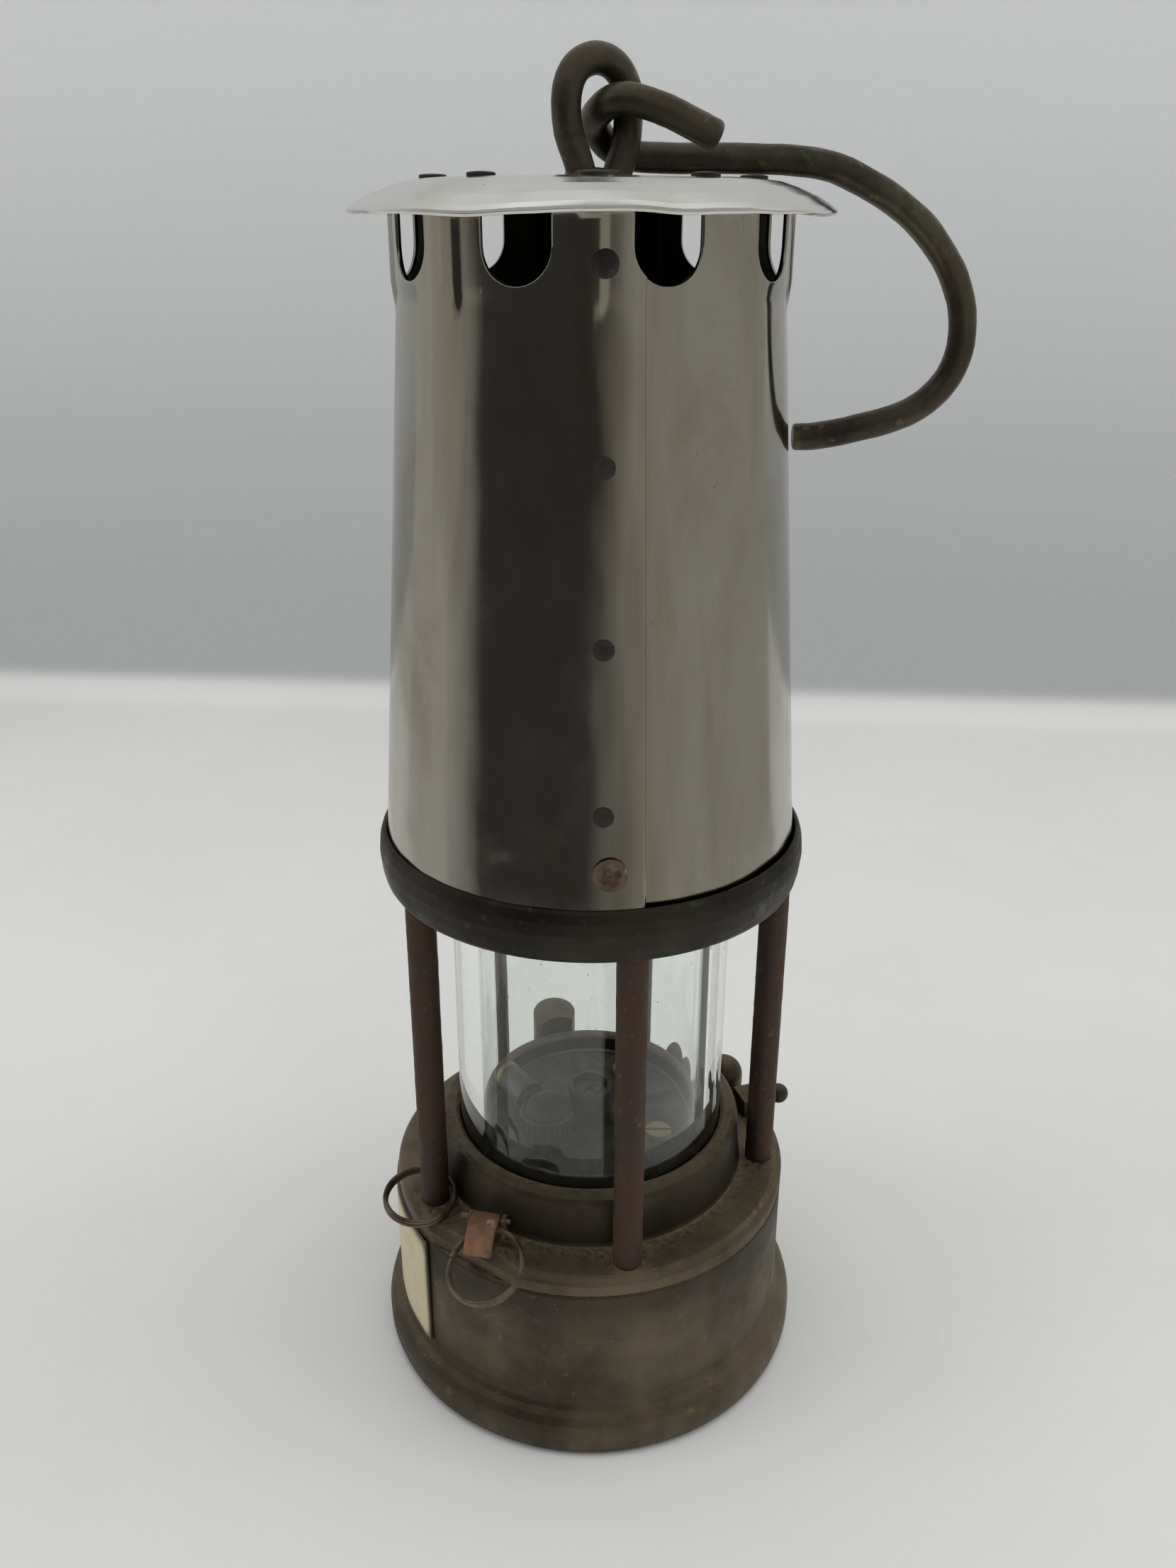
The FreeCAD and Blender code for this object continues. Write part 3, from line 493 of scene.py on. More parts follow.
def spline(points, per_mm=1.6):
    """Smooth curve through the points, evenly sampled: a natural cubic on chord length."""
    p = np.array(points, float)
    t = np.concatenate([[0.0], np.cumsum(np.linalg.norm(np.diff(p, axis=0), axis=1))])
    n = len(p)
    h = np.diff(t)
    system = np.zeros((n, n))
    right = np.zeros((n, p.shape[1]))
    system[0, 0] = system[-1, -1] = 1.0
    for i in range(1, n - 1):
        system[i, i - 1] = h[i - 1]
        system[i, i] = 2 * (h[i - 1] + h[i])
        system[i, i + 1] = h[i]
        right[i] = 6 * ((p[i + 1] - p[i]) / h[i] - (p[i] - p[i - 1]) / h[i - 1])
    bend = np.linalg.solve(system, right)
    out = []
    for s in np.linspace(0, t[-1], max(8, int(t[-1] * per_mm))):
        i = min(int(np.searchsorted(t, s, side="right")) - 1, n - 2)
        a, b = t[i + 1] - s, s - t[i]
        out.append(
            bend[i] * a ** 3 / (6 * h[i]) + bend[i + 1] * b ** 3 / (6 * h[i])
            + (p[i] / h[i] - bend[i] * h[i] / 6) * a + (p[i + 1] / h[i] - bend[i + 1] * h[i] / 6) * b
        )
    return [Vector(v) for v in out]


def wire(path, radius, sides=32, ragged=0.0, end_round=0.5, seed=0.0):
    """Round wire along sampled points, with eased ends and an uneven surface."""
    count = len(path)
    tangents = []
    for i in range(count):
        tangents.append((path[min(i + 1, count - 1)] - path[max(i - 1, 0)]).normalized())
    side = tangents[0].orthogonal().normalized()
    rings = []
    sides_at = []
    for i in range(count):
        side = (side - tangents[i] * side.dot(tangents[i])).normalized()
        sides_at.append(side.copy())
    stations = [(path[0], tangents[0], sides_at[0], radius - end_round)]
    start = path[0] + tangents[0] * end_round * 0.35
    stations.append((start, tangents[0], sides_at[0], radius - end_round * 0.3))
    for i in range(count):
        inside = (path[i] - path[0]).length > end_round and (path[i] - path[-1]).length > end_round
        if inside:
            stations.append((path[i], tangents[i], sides_at[i], radius))
    stop = path[-1] - tangents[-1] * end_round * 0.35
    stations.append((stop, tangents[-1], sides_at[-1], radius - end_round * 0.3))
    stations.append((path[-1], tangents[-1], sides_at[-1], radius - end_round))
    verts = []
    for centre, tangent, across, r in stations:
        up = tangent.cross(across)
        ring = []
        for k in range(sides):
            a = 2 * math.pi * k / sides
            d = across * math.cos(a) + up * math.sin(a)
            v = centre + d * r
            if ragged:
                v += d * ragged * wobble(v.x, v.y, v.z, 0.22, seed)
                v += d * ragged * 0.4 * wobble(v.x, v.y, v.z, 1.1, seed + 3.0)
            ring.append(len(verts))
            verts.append(tuple(v))
        rings.append(ring)
    faces = []
    for i in range(len(rings) - 1):
        for k in range(sides):
            n = (k + 1) % sides
            faces.append((rings[i][k], rings[i][n], rings[i + 1][n], rings[i + 1][k]))
    for ring in (rings[0], rings[-1]):
        centre = sum((Vector(verts[i]) for i in ring), Vector()) / sides
        verts.append(tuple(centre))
        for k in range(sides):
            faces.append((ring[k], ring[(k + 1) % sides], len(verts) - 1))
    return verts, faces


# --------------------------------------------------------- brass and pillars


def hand_worn(amount, seed):
    """Warp for turned brass: slow unevenness and small knocks."""
    def warp(x, y, z):
        r = math.hypot(x, y)
        k = amount * wobble(x, y, z, 0.05, seed) + amount * 0.35 * wobble(x, y, z, 0.21, seed + 5.0)
        return (x * (1 + k / r), y * (1 + k / r), z)
    return warp


def make_vessel():
    profile = [
        (39.0, 0.0), (43.6, 0.0, 0.6), (44.5, 0.8, 0.6), (45.0, 2.6, 1.5), (45.0, 5.6, 1.5),
        (44.5, 7.3, 1.5), (43.4, 8.5, 1.2), (42.2, 9.4, 1.2), (41.6, 10.4, 1.0), (41.5, 11.4, 1.0),
        (41.5, 37.5, 0.4), (41.0, 38.0, 0.4), (29.0, 38.0, 0.2), (29.0, 45.0, 0.5), (22.0, 45.0, 0.2),
        (22.0, 50.0, 0.3), (5.0, 50.0, 0.0), (5.0, 43.0, 0.0), (26.0, 43.0, 0.3), (26.0, 35.5, 0.3),
        (39.0, 35.5, 0.3),
    ]
    verts, faces = lathe(profile, 256, warp=hand_worn(0.10, 1.0))
    add_piece("vessel", verts, faces, "fuel_vessel", M_VESSEL, ["fuel_vessel"])


FACET_AZ = -35.0
FACET_DISTANCE = 40.1


def faceted(x, y, z):
    """Warp that files the front left of the lower ring flat and bevels its edge."""
    x, y, z = hand_worn(0.07, 2.0)(x, y, z)
    ox, oy, _ = outward(FACET_AZ)
    along = x * ox + y * oy
    if 38.0 < z and math.hypot(x, y) > 36.0:
        back = max(0.0, along - FACET_DISTANCE)
        x, y = x - ox * back, y - oy * back
        over = max(0.0, (x * ox + y * oy) + z - (FACET_DISTANCE + 40.6))
        if along > 38.5 and over > 0:
            x, y, z = x - ox * over / 2, y - oy * over / 2, z - over / 2
    return (x, y, z)


def make_lower_ring():
    profile = [
        (29.4, 38.3, 0.1), (31.0, 38.3, 0.1), (31.0, 39.0, 0.0), (39.0, 39.0, 0.0), (39.0, 38.3, 0.1),
        (41.5, 38.3, 0.25), (41.5, 40.6, 0.6), (41.2, 41.2, 0.5), (40.6, 41.7, 0.4), (39.7, 42.0, 0.5),
        (32.4, 42.0, 0.5), (31.9, 47.0, 0.5), (31.6, 51.6, 0.5), (31.2, 52.6, 0.3), (30.4, 53.2, 0.3),
        (28.7, 53.3, 0.3), (27.9, 52.8, 0.3), (27.9, 47.0, 0.1), (24.5, 47.0, 0.1), (24.5, 45.6, 0.1),
        (29.4, 45.6, 0.1),
    ]
    verts, faces = lathe(profile, 512, warp=faceted, longest=1.6)
    add_piece("frame_ring", verts, faces, "cage", M_FRAME, ["lower_ring"])


def make_gallery():
    profile = [
        (39.4, 111.0, 0.15), (39.9, 111.0, 0.2), (40.3, 111.7, 0.6), (40.7, 113.4, 1.2), (41.0, 116.4, 2.0),
        (40.8, 118.8, 1.2), (40.3, 120.4, 0.6), (39.9, 120.9, 0.25), (39.45, 120.9, 0.15),
        (39.8, 115.2, 0.0), (24.0, 115.2, 0.3), (24.0, 113.2, 0.3), (39.4, 113.2, 0.1),
    ]
    verts, faces = lathe(profile, 256, warp=hand_worn(0.10, 4.0))
    add_piece("gallery", verts, faces, "cage", M_GALLERY, ["gallery_ring"])


PILLAR_AZIMUTHS = [11.6 + 72.0 * i for i in range(5)]


def make_pillars():
    parts = []
    for number, azimuth in enumerate(PILLAR_AZIMUTHS):
        foot = polar(36.5, azimuth, 42.0)

        def pitted(x, y, z, seed=number * 3.7):
            k = 0.05 * wobble(x, y, z, 0.5, seed) + 0.04 * wobble(x, y, z, 1.7, seed)
            return (x * (1 + k / 2.8), y * (1 + k / 2.8), z)

        verts, faces = lathe(
            [(0, 0, 0), (2.84, 0, 0.2), (2.84, 71.2, 0.1), (0, 71.2, 0)], 40, 0.1, pitted, 1.2
        )
        parts.append((placed(verts, foot, (0, 0, 1)), faces))
    verts, faces = joined(parts)
    add_piece("pillar_set", verts, faces, "cage", M_PILLAR, ["pillars"])


def make_glass():
    profile = [
        (22.95, 48.0, 0.5), (27.7, 48.0, 0.6), (27.7, 112.2, 0.6), (22.95, 112.2, 0.5),
    ]
    verts, faces = lathe(profile, 256, longest=4.0)
    add_piece("glass", verts, faces, "cage", M_GLASS, ["glass_cylinder"])


# ------------------------------------------------------------ bonnet and cap

SHEET = 0.8
LAP_AZ = 13.6
LAP_UNDER_AZ = -7.0
VENT_HALF = 9.75
VENT_BOTTOM = 218.7
VENT_R = 5.55
SHOULDER_Z = 216.0
TONGUE_Z = 229.3


def bonnet_r(z):
    if z <= SHOULDER_Z:
        return 39.2 - (z - 121.0) * (39.2 - 32.5) / (SHOULDER_Z - 121.0)
    return 32.5 + 0.3 * min(1.0, (z - SHOULDER_Z) / 2.5)


def smooth(t):
    t = min(1.0, max(0.0, t))
    return t * t * (3 - 2 * t)


def from_tongue(azimuth):
    """Signed angle from the nearest tongue's middle."""
    return (azimuth + 20.0) % 40.0 - 20.0


def rib(azimuth, z):
    """Pressed rib down the middle of each tongue, with a pointed foot."""
    off = abs(math.radians(from_tongue(azimuth))) * 32.8
    foot = 214.4 + 0.8 * off
    across = smooth((2.2 - off) / 1.1)
    along = smooth((z - foot) / 1.3) * smooth((229.6 - z) / 1.2)
    return 0.45 * across * along


def sheet_ripple(azimuth, z):
    """Rolled sheet is never quite round: slow flats, dents, one knock and a crushed foot."""
    a = math.radians(azimuth)
    x, y = math.sin(a), -math.cos(a)
    flats = 0.16 * noise.noise(Vector((x * 1.7, y * 1.7, z * 0.008 + 3.0)))
    flats += 0.07 * noise.noise(Vector((x * 4.5, y * 4.5, z * 0.018 + 7.0)))
    dents = 0.05 * noise.noise(Vector((x * 9.0, y * 9.0, z * 0.07)))
    knock = 0.2 * math.exp(-((azimuth + 22.0) / 4.2) ** 2 - ((z - 127.5) / 2.6) ** 2)
    low = math.exp(-((z - 122.0) / 14.0) ** 2)
    crush = 0.10 * low * noise.noise(Vector((x * 6.0, y * 6.0, z * 0.12 + 11.0)))
    return flats + dents + crush - knock


def bonnet_columns():
    columns = [LAP_AZ, LAP_UNDER_AZ - 360.0]
    for k in range(-10, 3):
        vent = 20.0 + 40.0 * k
        for j in range(23):
            t = -math.pi / 2 + math.pi * j / 22
            columns.append(vent + VENT_HALF * math.sin(t))
        for j in range(1, 30):
            columns.append(vent + VENT_HALF + (40.0 - 2 * VENT_HALF) * j / 30)
    columns = sorted(c for c in columns if LAP_UNDER_AZ - 360.0 - 1e-6 <= c <= LAP_AZ + 1e-6)
    kept = [columns[0]]
    for c in columns[1:]:
        if c - kept[-1] > 0.02:
            kept.append(c)
    return kept


def make_bonnet():
    columns = bonnet_columns()
    low_rows = [115.6 + (SHOULDER_Z - 115.6) * i / 84 for i in range(85)]
    verts = []
    grid = []
    for azimuth in columns:
        rel = abs(20.0 - abs(from_tongue(azimuth)))
        in_vent = rel < VENT_HALF - 1e-4
        share = (LAP_AZ - azimuth) / 360.0
        lift = 0.42 - 0.98 * share
        top = VENT_BOTTOM + VENT_R
        if in_vent:
            top = VENT_BOTTOM + VENT_R - math.sqrt(max(0.0, VENT_R ** 2 - (rel / VENT_HALF * VENT_R) ** 2))
        rows = list(low_rows) + [SHOULDER_Z + (top - SHOULDER_Z) * (i + 1) / 12 for i in range(12)]
        line = []
        for z in rows:
            r = bonnet_r(z) + lift - 0.02 + rib(azimuth, z) + sheet_ripple(azimuth, z)
            line.append(len(verts))
            verts.append(polar(r, azimuth, z))
        if not in_vent:
            for i in range(1, 7):
                z = top + (TONGUE_Z - top) * i / 6
                r = bonnet_r(z) + lift - 0.02 + rib(azimuth, z) + sheet_ripple(azimuth, z)
                line.append(len(verts))
                verts.append(polar(r, azimuth, z))
            edge = bonnet_r(TONGUE_Z) + lift + sheet_ripple(azimuth, TONGUE_Z)
            tab = (
                (edge - 0.35, 230.3), (edge - 1.3, 230.95), (30.2, 231.55),
                (28.2, 232.25), (25.6, 232.35), (22.9, 232.35),
            )
            for r, z in tab:
                line.append(len(verts))
                verts.append(polar(r, azimuth, z - 0.25))
        grid.append(line)
    faces = []
    for c in range(len(columns) - 1):
        a, b = grid[c], grid[c + 1]
        for i in range(min(len(a), len(b)) - 1):
            faces.append((a[i], b[i], b[i + 1], a[i + 1]))
    sheet_nodes = ["bonnet", "bonnet_tongues", "bonnet_tabs"]
    piece = add_piece("bonnet_sheet", verts, faces, "cage", M_STEEL, sheet_nodes)
    skin = piece.modifiers.new("sheet", "SOLIDIFY")
    skin.thickness = SHEET * MM
    skin.offset = -1.0
    return piece


def cap_warp(x, y, z):
    r = math.hypot(x, y)
    a = math.atan2(x, -y)
    rim = smooth((r - 30.0) / 9.5)
    lobes = 0.10 * math.cos(9 * a) + 0.16 * math.sin(4 * a + 0.9) + 0.12 * math.sin(7 * a + 2.0)
    z += rim * (lobes + 0.2 * wobble(x, y, 0, 0.14, 6.0))
    z += 0.10 * (1 - rim) * wobble(x, y, 0, 0.12, 8.0)
    k = rim * 0.25 * math.sin(3 * a + 0.4)
    return (x * (1 + k / max(r, 1.0)), y * (1 + k / max(r, 1.0)), z)


def make_cap():
    profile = [
        (2.6, 233.5, 0.0), (28.0, 233.5, 2.5), (30.4, 233.2, 1.5), (33.0, 232.4, 1.5), (36.0, 231.2, 1.5),
        (38.4, 229.9, 1.0), (39.4, 229.2, 0.4), (39.75, 228.8, 0.12), (39.4, 228.35, 0.12),
        (38.2, 229.05, 0.5),
        (35.7, 230.45, 1.0), (32.7, 231.65, 1.0), (30.2, 232.4, 1.0), (28.2, 232.6, 1.0), (2.6, 232.6, 0.0),
    ]
    verts, faces = lathe(profile, 288, warp=cap_warp, longest=1.4)
    add_piece("cap_disc", verts, faces, "cage", M_CAP, ["cap"])


def head(radius, drum, dome_height, rim=0.15):
    """Rivet head about +Z: a short drum under a shallow dome."""
    profile = [(0.0, 0.0, 0.0), (radius, 0.0, 0.05), (radius, drum, rim)]
    steps = 6
    for i in range(1, steps + 1):
        a = i / steps * math.pi / 2
        profile.append((radius * math.cos(a) if i < steps else 0.0, drum + dome_height * math.sin(a), 0.0))
    return profile


CAP_RIVETS = 9
CAP_RIVET_CIRCLE_R = 25.9


def make_cap_rivets():
    parts = []
    for i in range(CAP_RIVETS):
        def dressed(x, y, z, seed=2.3 * i):
            k = 1 + 0.035 * wobble(x, y, z, 0.5, seed)
            return (x * k, y * k, z * (1 + 0.08 * wobble(x, y, 0, 0.4, seed + 1)))
        verts, faces = lathe(head(2.2, 0.52, 0.26), 36, 0.1, dressed, 0.6)
        parts.append((placed(verts, polar(CAP_RIVET_CIRCLE_R, 40.0 * i, 233.45), (0, 0, 1)), faces))
        verts, faces = lathe([(0, 0, 0), (1.9, 0, 0.2), (1.9, 0.6, 0.1), (0, 0.6, 0)], 24, 0.1)
        parts.append((placed(verts, polar(CAP_RIVET_CIRCLE_R, 40.0 * i, 230.75), (0, 0, 1)), faces))
    verts, faces = joined(parts)
    add_piece("cap_rivet_set", verts, faces, "cage", M_RIVET, ["cap_rivets"])


SEAM_AZ = 3.0
SEAM_Z = (221.9, 193.4, 165.5, 137.6)
SCREW_AZ = 4.7
SCREW_Z = 127.4


def make_seam_rivets():
    parts = []
    for z in SEAM_Z:
        radius = 2.05 if z > 216.0 else 1.75
        r = bonnet_r(z) + 0.30 + rib(SEAM_AZ, z) + sheet_ripple(SEAM_AZ, z)
        verts, faces = lathe(head(radius, 0.25, 0.62), 32, 0.08, None, 0.5)
        parts.append((placed(verts, polar(r, SEAM_AZ, z), outward(SEAM_AZ)), faces))
        verts, faces = lathe([(0, 0, 0), (1.4, 0, 0.2), (1.4, 0.5, 0.1), (0, 0.5, 0)], 24, 0.1)
        parts.append((placed(verts, polar(r - 2.4, SEAM_AZ, z), outward(SEAM_AZ)), faces))
    verts, faces = joined(parts)
    add_piece("seam_rivet_set", verts, faces, "cage", M_RIVET, ["seam_rivets"])


def make_screw():
    def slotted(x, y, z):
        a = math.radians(28.0)
        u = abs(x * math.cos(a) + y * math.sin(a))
        v = abs(-x * math.sin(a) + y * math.cos(a))
        cross = smooth((0.75 - min(u, v)) / 0.3) * smooth((1.9 - max(u, v)) / 0.5)
        return (x, y, z - (0.55 * cross if z > 0.8 else 0.0) + 0.06 * wobble(x, y, z, 1.2, 4.0))
    base = bonnet_r(SCREW_Z) + 0.45 + sheet_ripple(SCREW_AZ, SCREW_Z)
    profile = head(2.95, 0.35, 1.15)
    verts, faces = lathe(profile, 64, 0.1, slotted, 0.25)
    verts = placed(verts, polar(base, SCREW_AZ, SCREW_Z), outward(SCREW_AZ))
    stem, stem_faces = lathe([(0, 0, 0), (1.4, 0, 0.2), (1.4, 4.2, 0.1), (0, 4.2, 0)], 24, 0.1)
    stem = placed(stem, polar(base - 4.0, SCREW_AZ, SCREW_Z), outward(SCREW_AZ))
    verts, faces = joined([(verts, faces), (stem, stem_faces)])
    add_piece("seam_screw", verts, faces, "cage", M_SCREW, ["bonnet_screw"])


# ------------------------------------------------------------ eye and hook

EYE_AZ = math.radians(32.0)
EYE_PATH = [
    (-2.0, 233.7), (-2.9, 236.2), (-4.3, 239.4), (-5.0, 242.6), (-4.9, 245.9), (-3.4, 249.2),
    (0.75, 250.9), (4.9, 249.2), (6.5, 245.9), (6.6, 242.6), (6.3, 239.4), (5.3, 236.2), (4.3, 233.7),
]
WIRE_R = 2.4
HOOK_PATH = [
    (19.7, -1.6, 239.7), (15.6, -2.6, 241.6), (11.6, -3.0, 243.3), (8.4, -3.0, 244.4),
    (5.3, -2.6, 245.0), (2.7, -1.4, 244.6), (1.2, 0.6, 243.7), (0.2, 4.7, 242.0),
    (2.0, 7.6, 239.3), (5.2, 8.8, 237.6), (9.5, 9.2, 237.05), (16.0, 8.7, 237.0),
    (22.0, 8.5, 236.95), (29.0, 8.5, 236.85), (36.0, 8.5, 236.4), (40.4, 8.5, 235.5),
    (44.9, 8.5, 233.7), (49.4, 8.5, 231.3), (54.0, 8.5, 228.2), (58.1, 8.5, 224.3),
    (61.1, 8.5, 220.2), (63.3, 8.5, 215.7), (64.4, 8.5, 211.1), (64.3, 8.5, 206.5),
    (62.7, 8.5, 201.9), (59.6, 8.5, 198.2), (55.3, 8.5, 195.6), (50.5, 8.5, 194.0),
    (45.2, 8.5, 192.7), (39.9, 8.5, 191.8), (36.0, 8.5, 191.6),
]


def make_eye():
    points = [(u * math.cos(EYE_AZ), u * math.sin(EYE_AZ), z) for u, z in EYE_PATH]
    loop = wire(spline(points), 2.4, 36, 0.10, 0.15, 1.0)
    collar = lathe([(0, 233.75, 0), (4.6, 233.75, 0.2), (4.6, 235.0, 0.6), (0, 235.4, 0)], 48)
    stud = lathe([(0, 229.0, 0), (2.5, 229.0, 0.4), (2.5, 233.9, 0.0), (0, 233.9, 0)], 32)
    verts, faces = joined([loop, collar, stud])
    add_piece("eye", verts, faces, "swivel", M_BRONZE, ["swivel_eye"])


def make_hook():
    verts, faces = wire(spline(HOOK_PATH), WIRE_R, 36, 0.12, 0.45, 2.0)
    add_piece("wire_hook", verts, faces, "hook", M_BRONZE, ["hook"])


# -------------------------------------------------------- fittings, inside


def split_ring(centre, axis, radius, thick, phase):
    """Two turns of springy wire that lie on each other and cross near their ends."""
    axis = Vector(axis).normalized()
    across = axis.orthogonal().normalized()
    up = axis.cross(across)
    points = []
    count = 150
    for i in range(count + 1):
        t = i / count
        a = phase + 2 * math.pi * 1.96 * t
        step = smooth((t - 0.46) / 0.08) * 2 - 1
        spread = 1 + 0.006 * math.sin(3 * a)
        points.append(
            Vector(centre) + (across * math.cos(a) + up * math.sin(a)) * (radius - thick) * spread
            + axis * step * thick * 0.94
        )
    return wire(points, thick, 14, 0.03, 0.12, phase)


def make_rings():
    slope = math.radians(63.9)
    axis = Vector(outward(-32.2)) * math.cos(slope) + Vector((0, 0, math.sin(slope)))
    verts, faces = split_ring((-20.0, -37.7, 42.2), axis, 7.85, 0.45, 2.2)
    add_piece("split_ring_hasp", verts, faces, "hasp_ring", M_RING, ["hasp_ring"])
    tilt = math.radians(9.0)
    axis = Vector((0, -math.sin(tilt), math.cos(tilt)))
    verts, faces = split_ring(polar(39.9, -60.2, 43.95), axis, 7.5, 0.5, 0.6)
    add_piece("split_ring_pillar", verts, faces, "pillar_ring", M_RING, ["pillar_ring"])


def make_label():
    columns = 60
    rows = 16
    verts = []
    for side in (0, 1):
        for i in range(columns + 1):
            t = i / columns
            azimuth = -112.0 + (112.0 - 51.8) * t
            for j in range(rows + 1):
                s = j / rows
                z = 11.2 + (37.2 - 11.2) * s
                lift = 0.25 * smooth((t - 0.86) / 0.14) * (0.6 + 0.4 * s)
                r = 41.56 + lift + (0.62 if side else 0.0) + 0.05 * wobble(t * 9, s * 5, 0, 1.0, 2.0)
                edge = min(i, columns - i, j, rows - j)
                if side and edge == 0:
                    r -= 0.15
                verts.append(polar(r, azimuth, z))
    half = (columns + 1) * (rows + 1)
    faces = []
    for i in range(columns):
        for j in range(rows):
            a = i * (rows + 1) + j
            b = a + rows + 1
            faces.append((a, b, b + 1, a + 1))
            faces.append((half + a, half + a + 1, half + b + 1, half + b))
    border = [i * (rows + 1) for i in range(columns + 1)]
    border += [columns * (rows + 1) + j for j in range(1, rows + 1)]
    border += [i * (rows + 1) + rows for i in range(columns - 1, -1, -1)]
    border += [j for j in range(rows - 1, 0, -1)]
    for i in range(len(border)):
        a, b = border[i], border[(i + 1) % len(border)]
        faces.append((a, b, half + b, half + a))
    add_piece("label_sheet", verts, faces, "fuel_vessel", M_LABEL, ["label_plate"])


HASP_AZ = -12.0
HASP_PIN = Vector((-20.3, -28.6, 45.9))


def make_hasp():
    """Arched strap with rounded edges and a barrel round its pin."""
    outer = [
        (-1.2, 0.0), (-0.9, 0.9), (0.0, 1.4), (2.1, 1.6), (4.1, 1.0), (5.8, -0.2), (7.0, -1.7),
        (7.5, -3.2),
    ]
    inner = [
        (6.4, -3.4), (5.9, -2.1), (4.9, -0.9), (3.6, 0.1), (2.0, 0.4), (1.3, 0.1), (0.8, -0.55),
        (0.0, -1.0), (-0.8, -0.75),
    ]
    outline = densified(rounded(outer + inner, 0.6, 5), 0.6)
    a = math.radians(HASP_AZ)
    side = Vector((math.cos(a), math.sin(a), 0))
    ahead = Vector(outward(HASP_AZ))
    verts = []
    steps = [
        (-2.8, 0.22), (-2.66, 0.06), (-2.5, 0.0), (-1.2, 0.0), (0.0, 0.0),
        (1.2, 0.0), (2.5, 0.0), (2.66, 0.06), (2.8, 0.22),
    ]
    count = len(outline)
    for off, inset in steps:
        for i, (along, rise) in enumerate(outline):
            before = Vector(outline[i - 1])
            after = Vector(outline[(i + 1) % count])
            run = (after - before).normalized()
            inward = Vector((run.y, -run.x))
            v = Vector((along, rise)) + inward * inset
            place = HASP_PIN + ahead * v.x + side * off
            place.z += v.y + 0.08 * wobble(place.x, place.y, v.y, 0.5, 9.0)
            verts.append(tuple(place))
    faces = []
    for s in range(len(steps) - 1):
        for i in range(count):
            n = (i + 1) % count
            faces.append((s * count + i, s * count + n, (s + 1) * count + n, (s + 1) * count + i))
    faces.append(tuple(range(count)))
    faces.append(tuple(reversed([(len(steps) - 1) * count + i for i in range(count)])))
    add_piece("strap", verts, faces, "hasp", M_STRAP, ["hasp"])


STRIKER = (-8.8, -6.2)


def make_striker():
    def knurled(x, y, z):
        r = math.hypot(x, y)
        if r > 5.2 and 53.0 < z < 56.6:
            a = math.atan2(y, x)
            r2 = r - 0.28 * (0.5 - 0.5 * math.cos(30 * a)) ** 0.6
            x, y = x * r2 / r, y * r2 / r
        return (x + STRIKER[0], y + STRIKER[1], z)
    profile = [
        (0.0, 52.6, 0.0), (5.3, 52.6, 0.3), (5.6, 53.0, 0.2), (5.6, 56.6, 0.3), (5.2, 57.1, 0.3),
        (4.4, 57.2, 0.3), (4.3, 57.7, 0.3), (4.0, 58.6, 1.0), (3.1, 59.4, 1.2), (1.7, 59.8, 1.0),
        (0.0, 59.9, 0.0),
    ]
    verts, faces = lathe(profile, 240, 0.1, knurled, 0.8)
    verts = [(STRIKER[0], STRIKER[1], v[2]) if math.hypot(v[0], v[1]) < 1e-6 else v for v in verts]
    add_piece("striker_drum", verts, faces, "striker", M_SOOT, ["striker_wheel"])


def dress_cad_nodes():
    """CAD nodes whose shape already serves get their finish here."""
    finishes = {
        M_SOOT: ["burner_plate", "wick_tube", "flint_tube", "striker_sleeve", "wick_gland"],
        M_BRASS: ["plate_screws", "flint_tube_cap", "wick_knob", "wick_carrier", "striker_key"],
        M_VESSEL: ["vessel_floor", "lock_housing", "air_valve_body", "air_valve_nozzle"],
        M_GALLERY: ["gauze_ring"],
        M_RUBBER: ["vessel_gasket", "glass_seat_gaskets"],
        M_WADDING: ["absorbent_wadding"],
        M_WICK: ["wick"],
        M_FLINT: ["flint"],
        M_RING: ["flint_spring", "lock_spring", "hasp_pin"],
        M_GAUZE: ["inner_gauze", "outer_gauze"],
        M_RIVET: ["bonnet_bracket", "lock_plunger"],
        M_STRAP: ["hasp_ears"],
        M_BRONZE: ["swivel_nut"],
    }
    for material, names in finishes.items():
        for name in names:
            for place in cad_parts[name].material_slots:
                place.material = material


# ------------------------------------------------------------- surroundings


def make_backdrop():
    """Pale paper: flat under the lamp, folded up into a wall behind it."""
    fold_y, fold_r = 395.0, 16.0
    line = [(-1500.0 + i * 60.0, 0.0) for i in range(int((fold_y - fold_r + 1500.0) / 60.0) + 1)]
    line.append((fold_y - fold_r, 0.0))
    for i in range(1, 13):
        a = i / 12 * math.pi / 2
        line.append((fold_y - fold_r + fold_r * math.sin(a), fold_r - fold_r * math.cos(a)))
    line += [(fold_y, 60.0 + i * 60.0) for i in range(22)]
    verts = []
    faces = []
    turn = math.radians(-4.0)
    across = [-2000.0 + 100.0 * i for i in range(41)]
    for y, z in line:
        for x in across:
            cos, sin = math.cos(turn), math.sin(turn)
            verts.append((x * cos - y * sin, x * sin + y * cos, z))
    width = len(across)
    for i in range(len(line) - 1):
        for j in range(width - 1):
            a = i * width + j
            faces.append((a, a + 1, a + width + 1, a + width))
    mesh = bpy.data.meshes.new("backdrop")
    mesh.from_pydata([tuple(c * MM for c in v) for v in verts], [], faces)
    mesh.shade_smooth()
    mesh.materials.append(paper("backdrop_paper"))
    piece = bpy.data.objects.new("backdrop", mesh)
    bpy.context.collection.objects.link(piece)


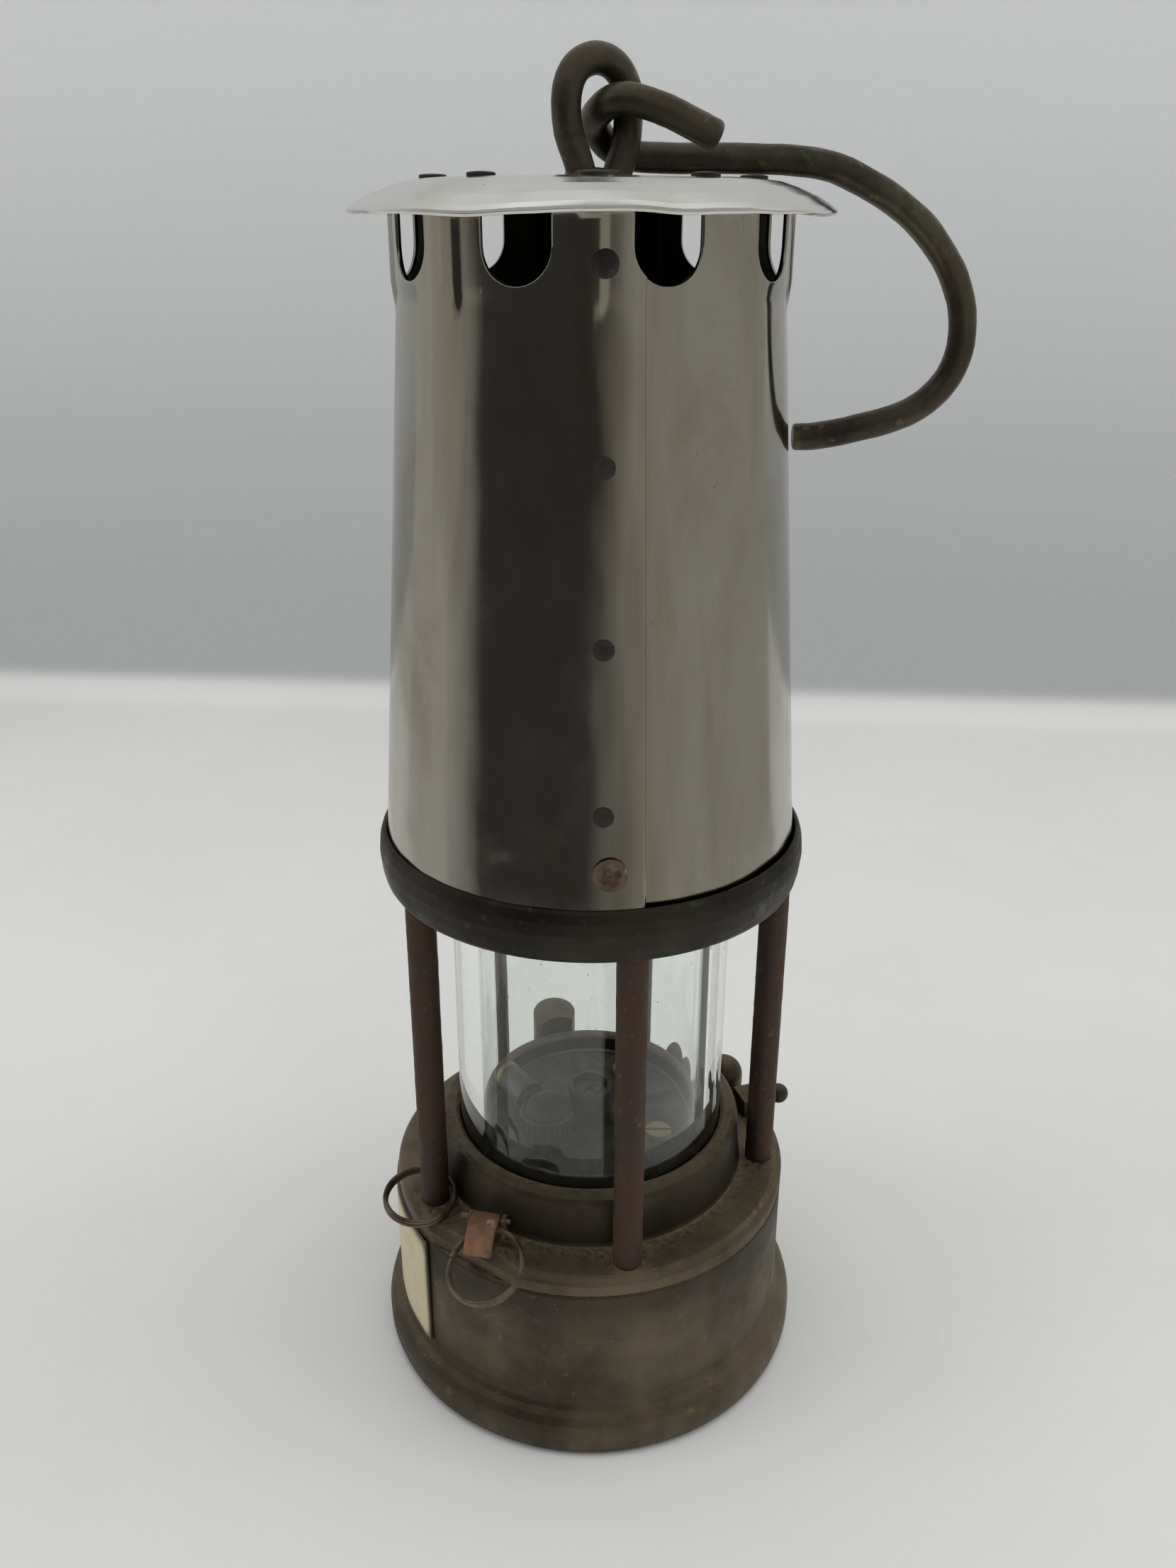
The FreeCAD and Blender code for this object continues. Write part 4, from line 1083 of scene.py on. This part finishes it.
ROOM_EDGE = 112.0
PALE_WALL = (0.5, 0.49, 0.47, 1.0)
DARK_ROOM = (0.05, 0.048, 0.045, 1.0)
WINDOW = (0.4, 0.39, 0.36, 1.0)
ROOM = (
    (-ROOM_EDGE, PALE_WALL), (-80.0, PALE_WALL), (-60.0, DARK_ROOM),
    (0.0, DARK_ROOM), (25.0, WINDOW), (ROOM_EDGE, WINDOW),
)


def room_card():
    """The dim room that the polished steel mirrors: brightness changes round the lamp."""
    s = Shader("room")
    split = s.tree.nodes.new("ShaderNodeSeparateXYZ")
    s.link(s.coords, split.inputs[0])
    across = s.math("MULTIPLY", split.outputs["Y"], -1.0)
    turn = s.math("ARCTAN2", split.outputs["X"], across)
    ragged = s.ramp(s.noise(6.0, 5.0, 0.6, (1.0, 1.0, 0.6)), 0.3, 0.7, -0.06, 0.06)
    turn = s.math("ADD", turn, ragged)
    limit = math.radians(ROOM_EDGE)
    ramp = s.tree.nodes.new("ShaderNodeValToRGB")
    s.link(s.ramp(turn, -limit, limit), ramp.inputs[0])
    ramp.color_ramp.interpolation = "LINEAR"
    stops = ramp.color_ramp.elements
    for azimuth, colour in ROOM:
        if abs(azimuth) == ROOM_EDGE:
            stop = stops[0 if azimuth < 0 else -1]
        else:
            stop = stops.new(smooth((azimuth + ROOM_EDGE) / (2 * ROOM_EDGE)))
        stop.color = colour
    s.set(Base_Color=(0.0, 0.0, 0.0, 1.0), Roughness=1.0, Emission_Color=ramp.outputs[0])
    s.bsdf.inputs["Emission Strength"].default_value = 1.0
    s.bsdf.inputs["Specular IOR Level"].default_value = 0.0
    return s.material


def make_room():
    verts = []
    faces = []
    steps = 72
    for i in range(steps + 1):
        azimuth = -112.0 + 224.0 * i / steps
        verts.append(polar(300.0, azimuth, 1.0))
        verts.append(polar(300.0, azimuth, 340.0))
    for i in range(steps):
        faces.append((2 * i, 2 * i + 2, 2 * i + 3, 2 * i + 1))
    mesh = bpy.data.meshes.new("room")
    mesh.from_pydata([tuple(c * MM for c in v) for v in verts], [], faces)
    mesh.materials.append(room_card())
    piece = bpy.data.objects.new("room", mesh)
    bpy.context.collection.objects.link(piece)
    piece.visible_camera = False
    piece.visible_diffuse = False
    piece.visible_shadow = False
    piece.visible_transmission = False


def area_light(name, place, target, size, power, colour):
    data = bpy.data.lights.new(name, "AREA")
    data.shape = "RECTANGLE"
    data.size, data.size_y = size
    data.energy = power
    data.color = colour
    light = bpy.data.objects.new(name, data)
    light.location = place
    light.rotation_euler = (Vector(target) - Vector(place)).to_track_quat("-Z", "Y").to_euler()
    light.visible_glossy = False
    bpy.context.collection.objects.link(light)


def make_light():
    world = bpy.data.worlds.new("studio")
    bpy.context.scene.world = world
    world.use_nodes = True
    back = world.node_tree.nodes["Background"]
    back.inputs["Color"].default_value = (0.95, 0.97, 1.0, 1.0)
    back.inputs["Strength"].default_value = 0.42
    area_light("overhead", (0.05, 0.1, 1.3), (0, 0, 0.1), (1.3, 1.0), 12.8, (1.0, 0.99, 0.97))
    area_light("left", (-1.1, -0.25, 0.55), (0, 0, 0.15), (0.7, 1.0), 3.5, (1.0, 0.99, 0.96))
    area_light("right", (1.1, -0.15, 0.6), (0, 0, 0.15), (0.7, 1.0), 3.5, (1.0, 0.99, 0.97))
    bpy.context.scene.view_settings.view_transform = "Standard"


make_backdrop()
make_room()
make_light()
make_vessel()
make_lower_ring()
make_gallery()
make_pillars()
make_glass()
make_bonnet()
make_cap()
make_cap_rivets()
make_seam_rivets()
make_screw()
make_eye()
make_hook()
make_rings()
make_label()
make_hasp()
make_striker()
dress_cad_nodes()
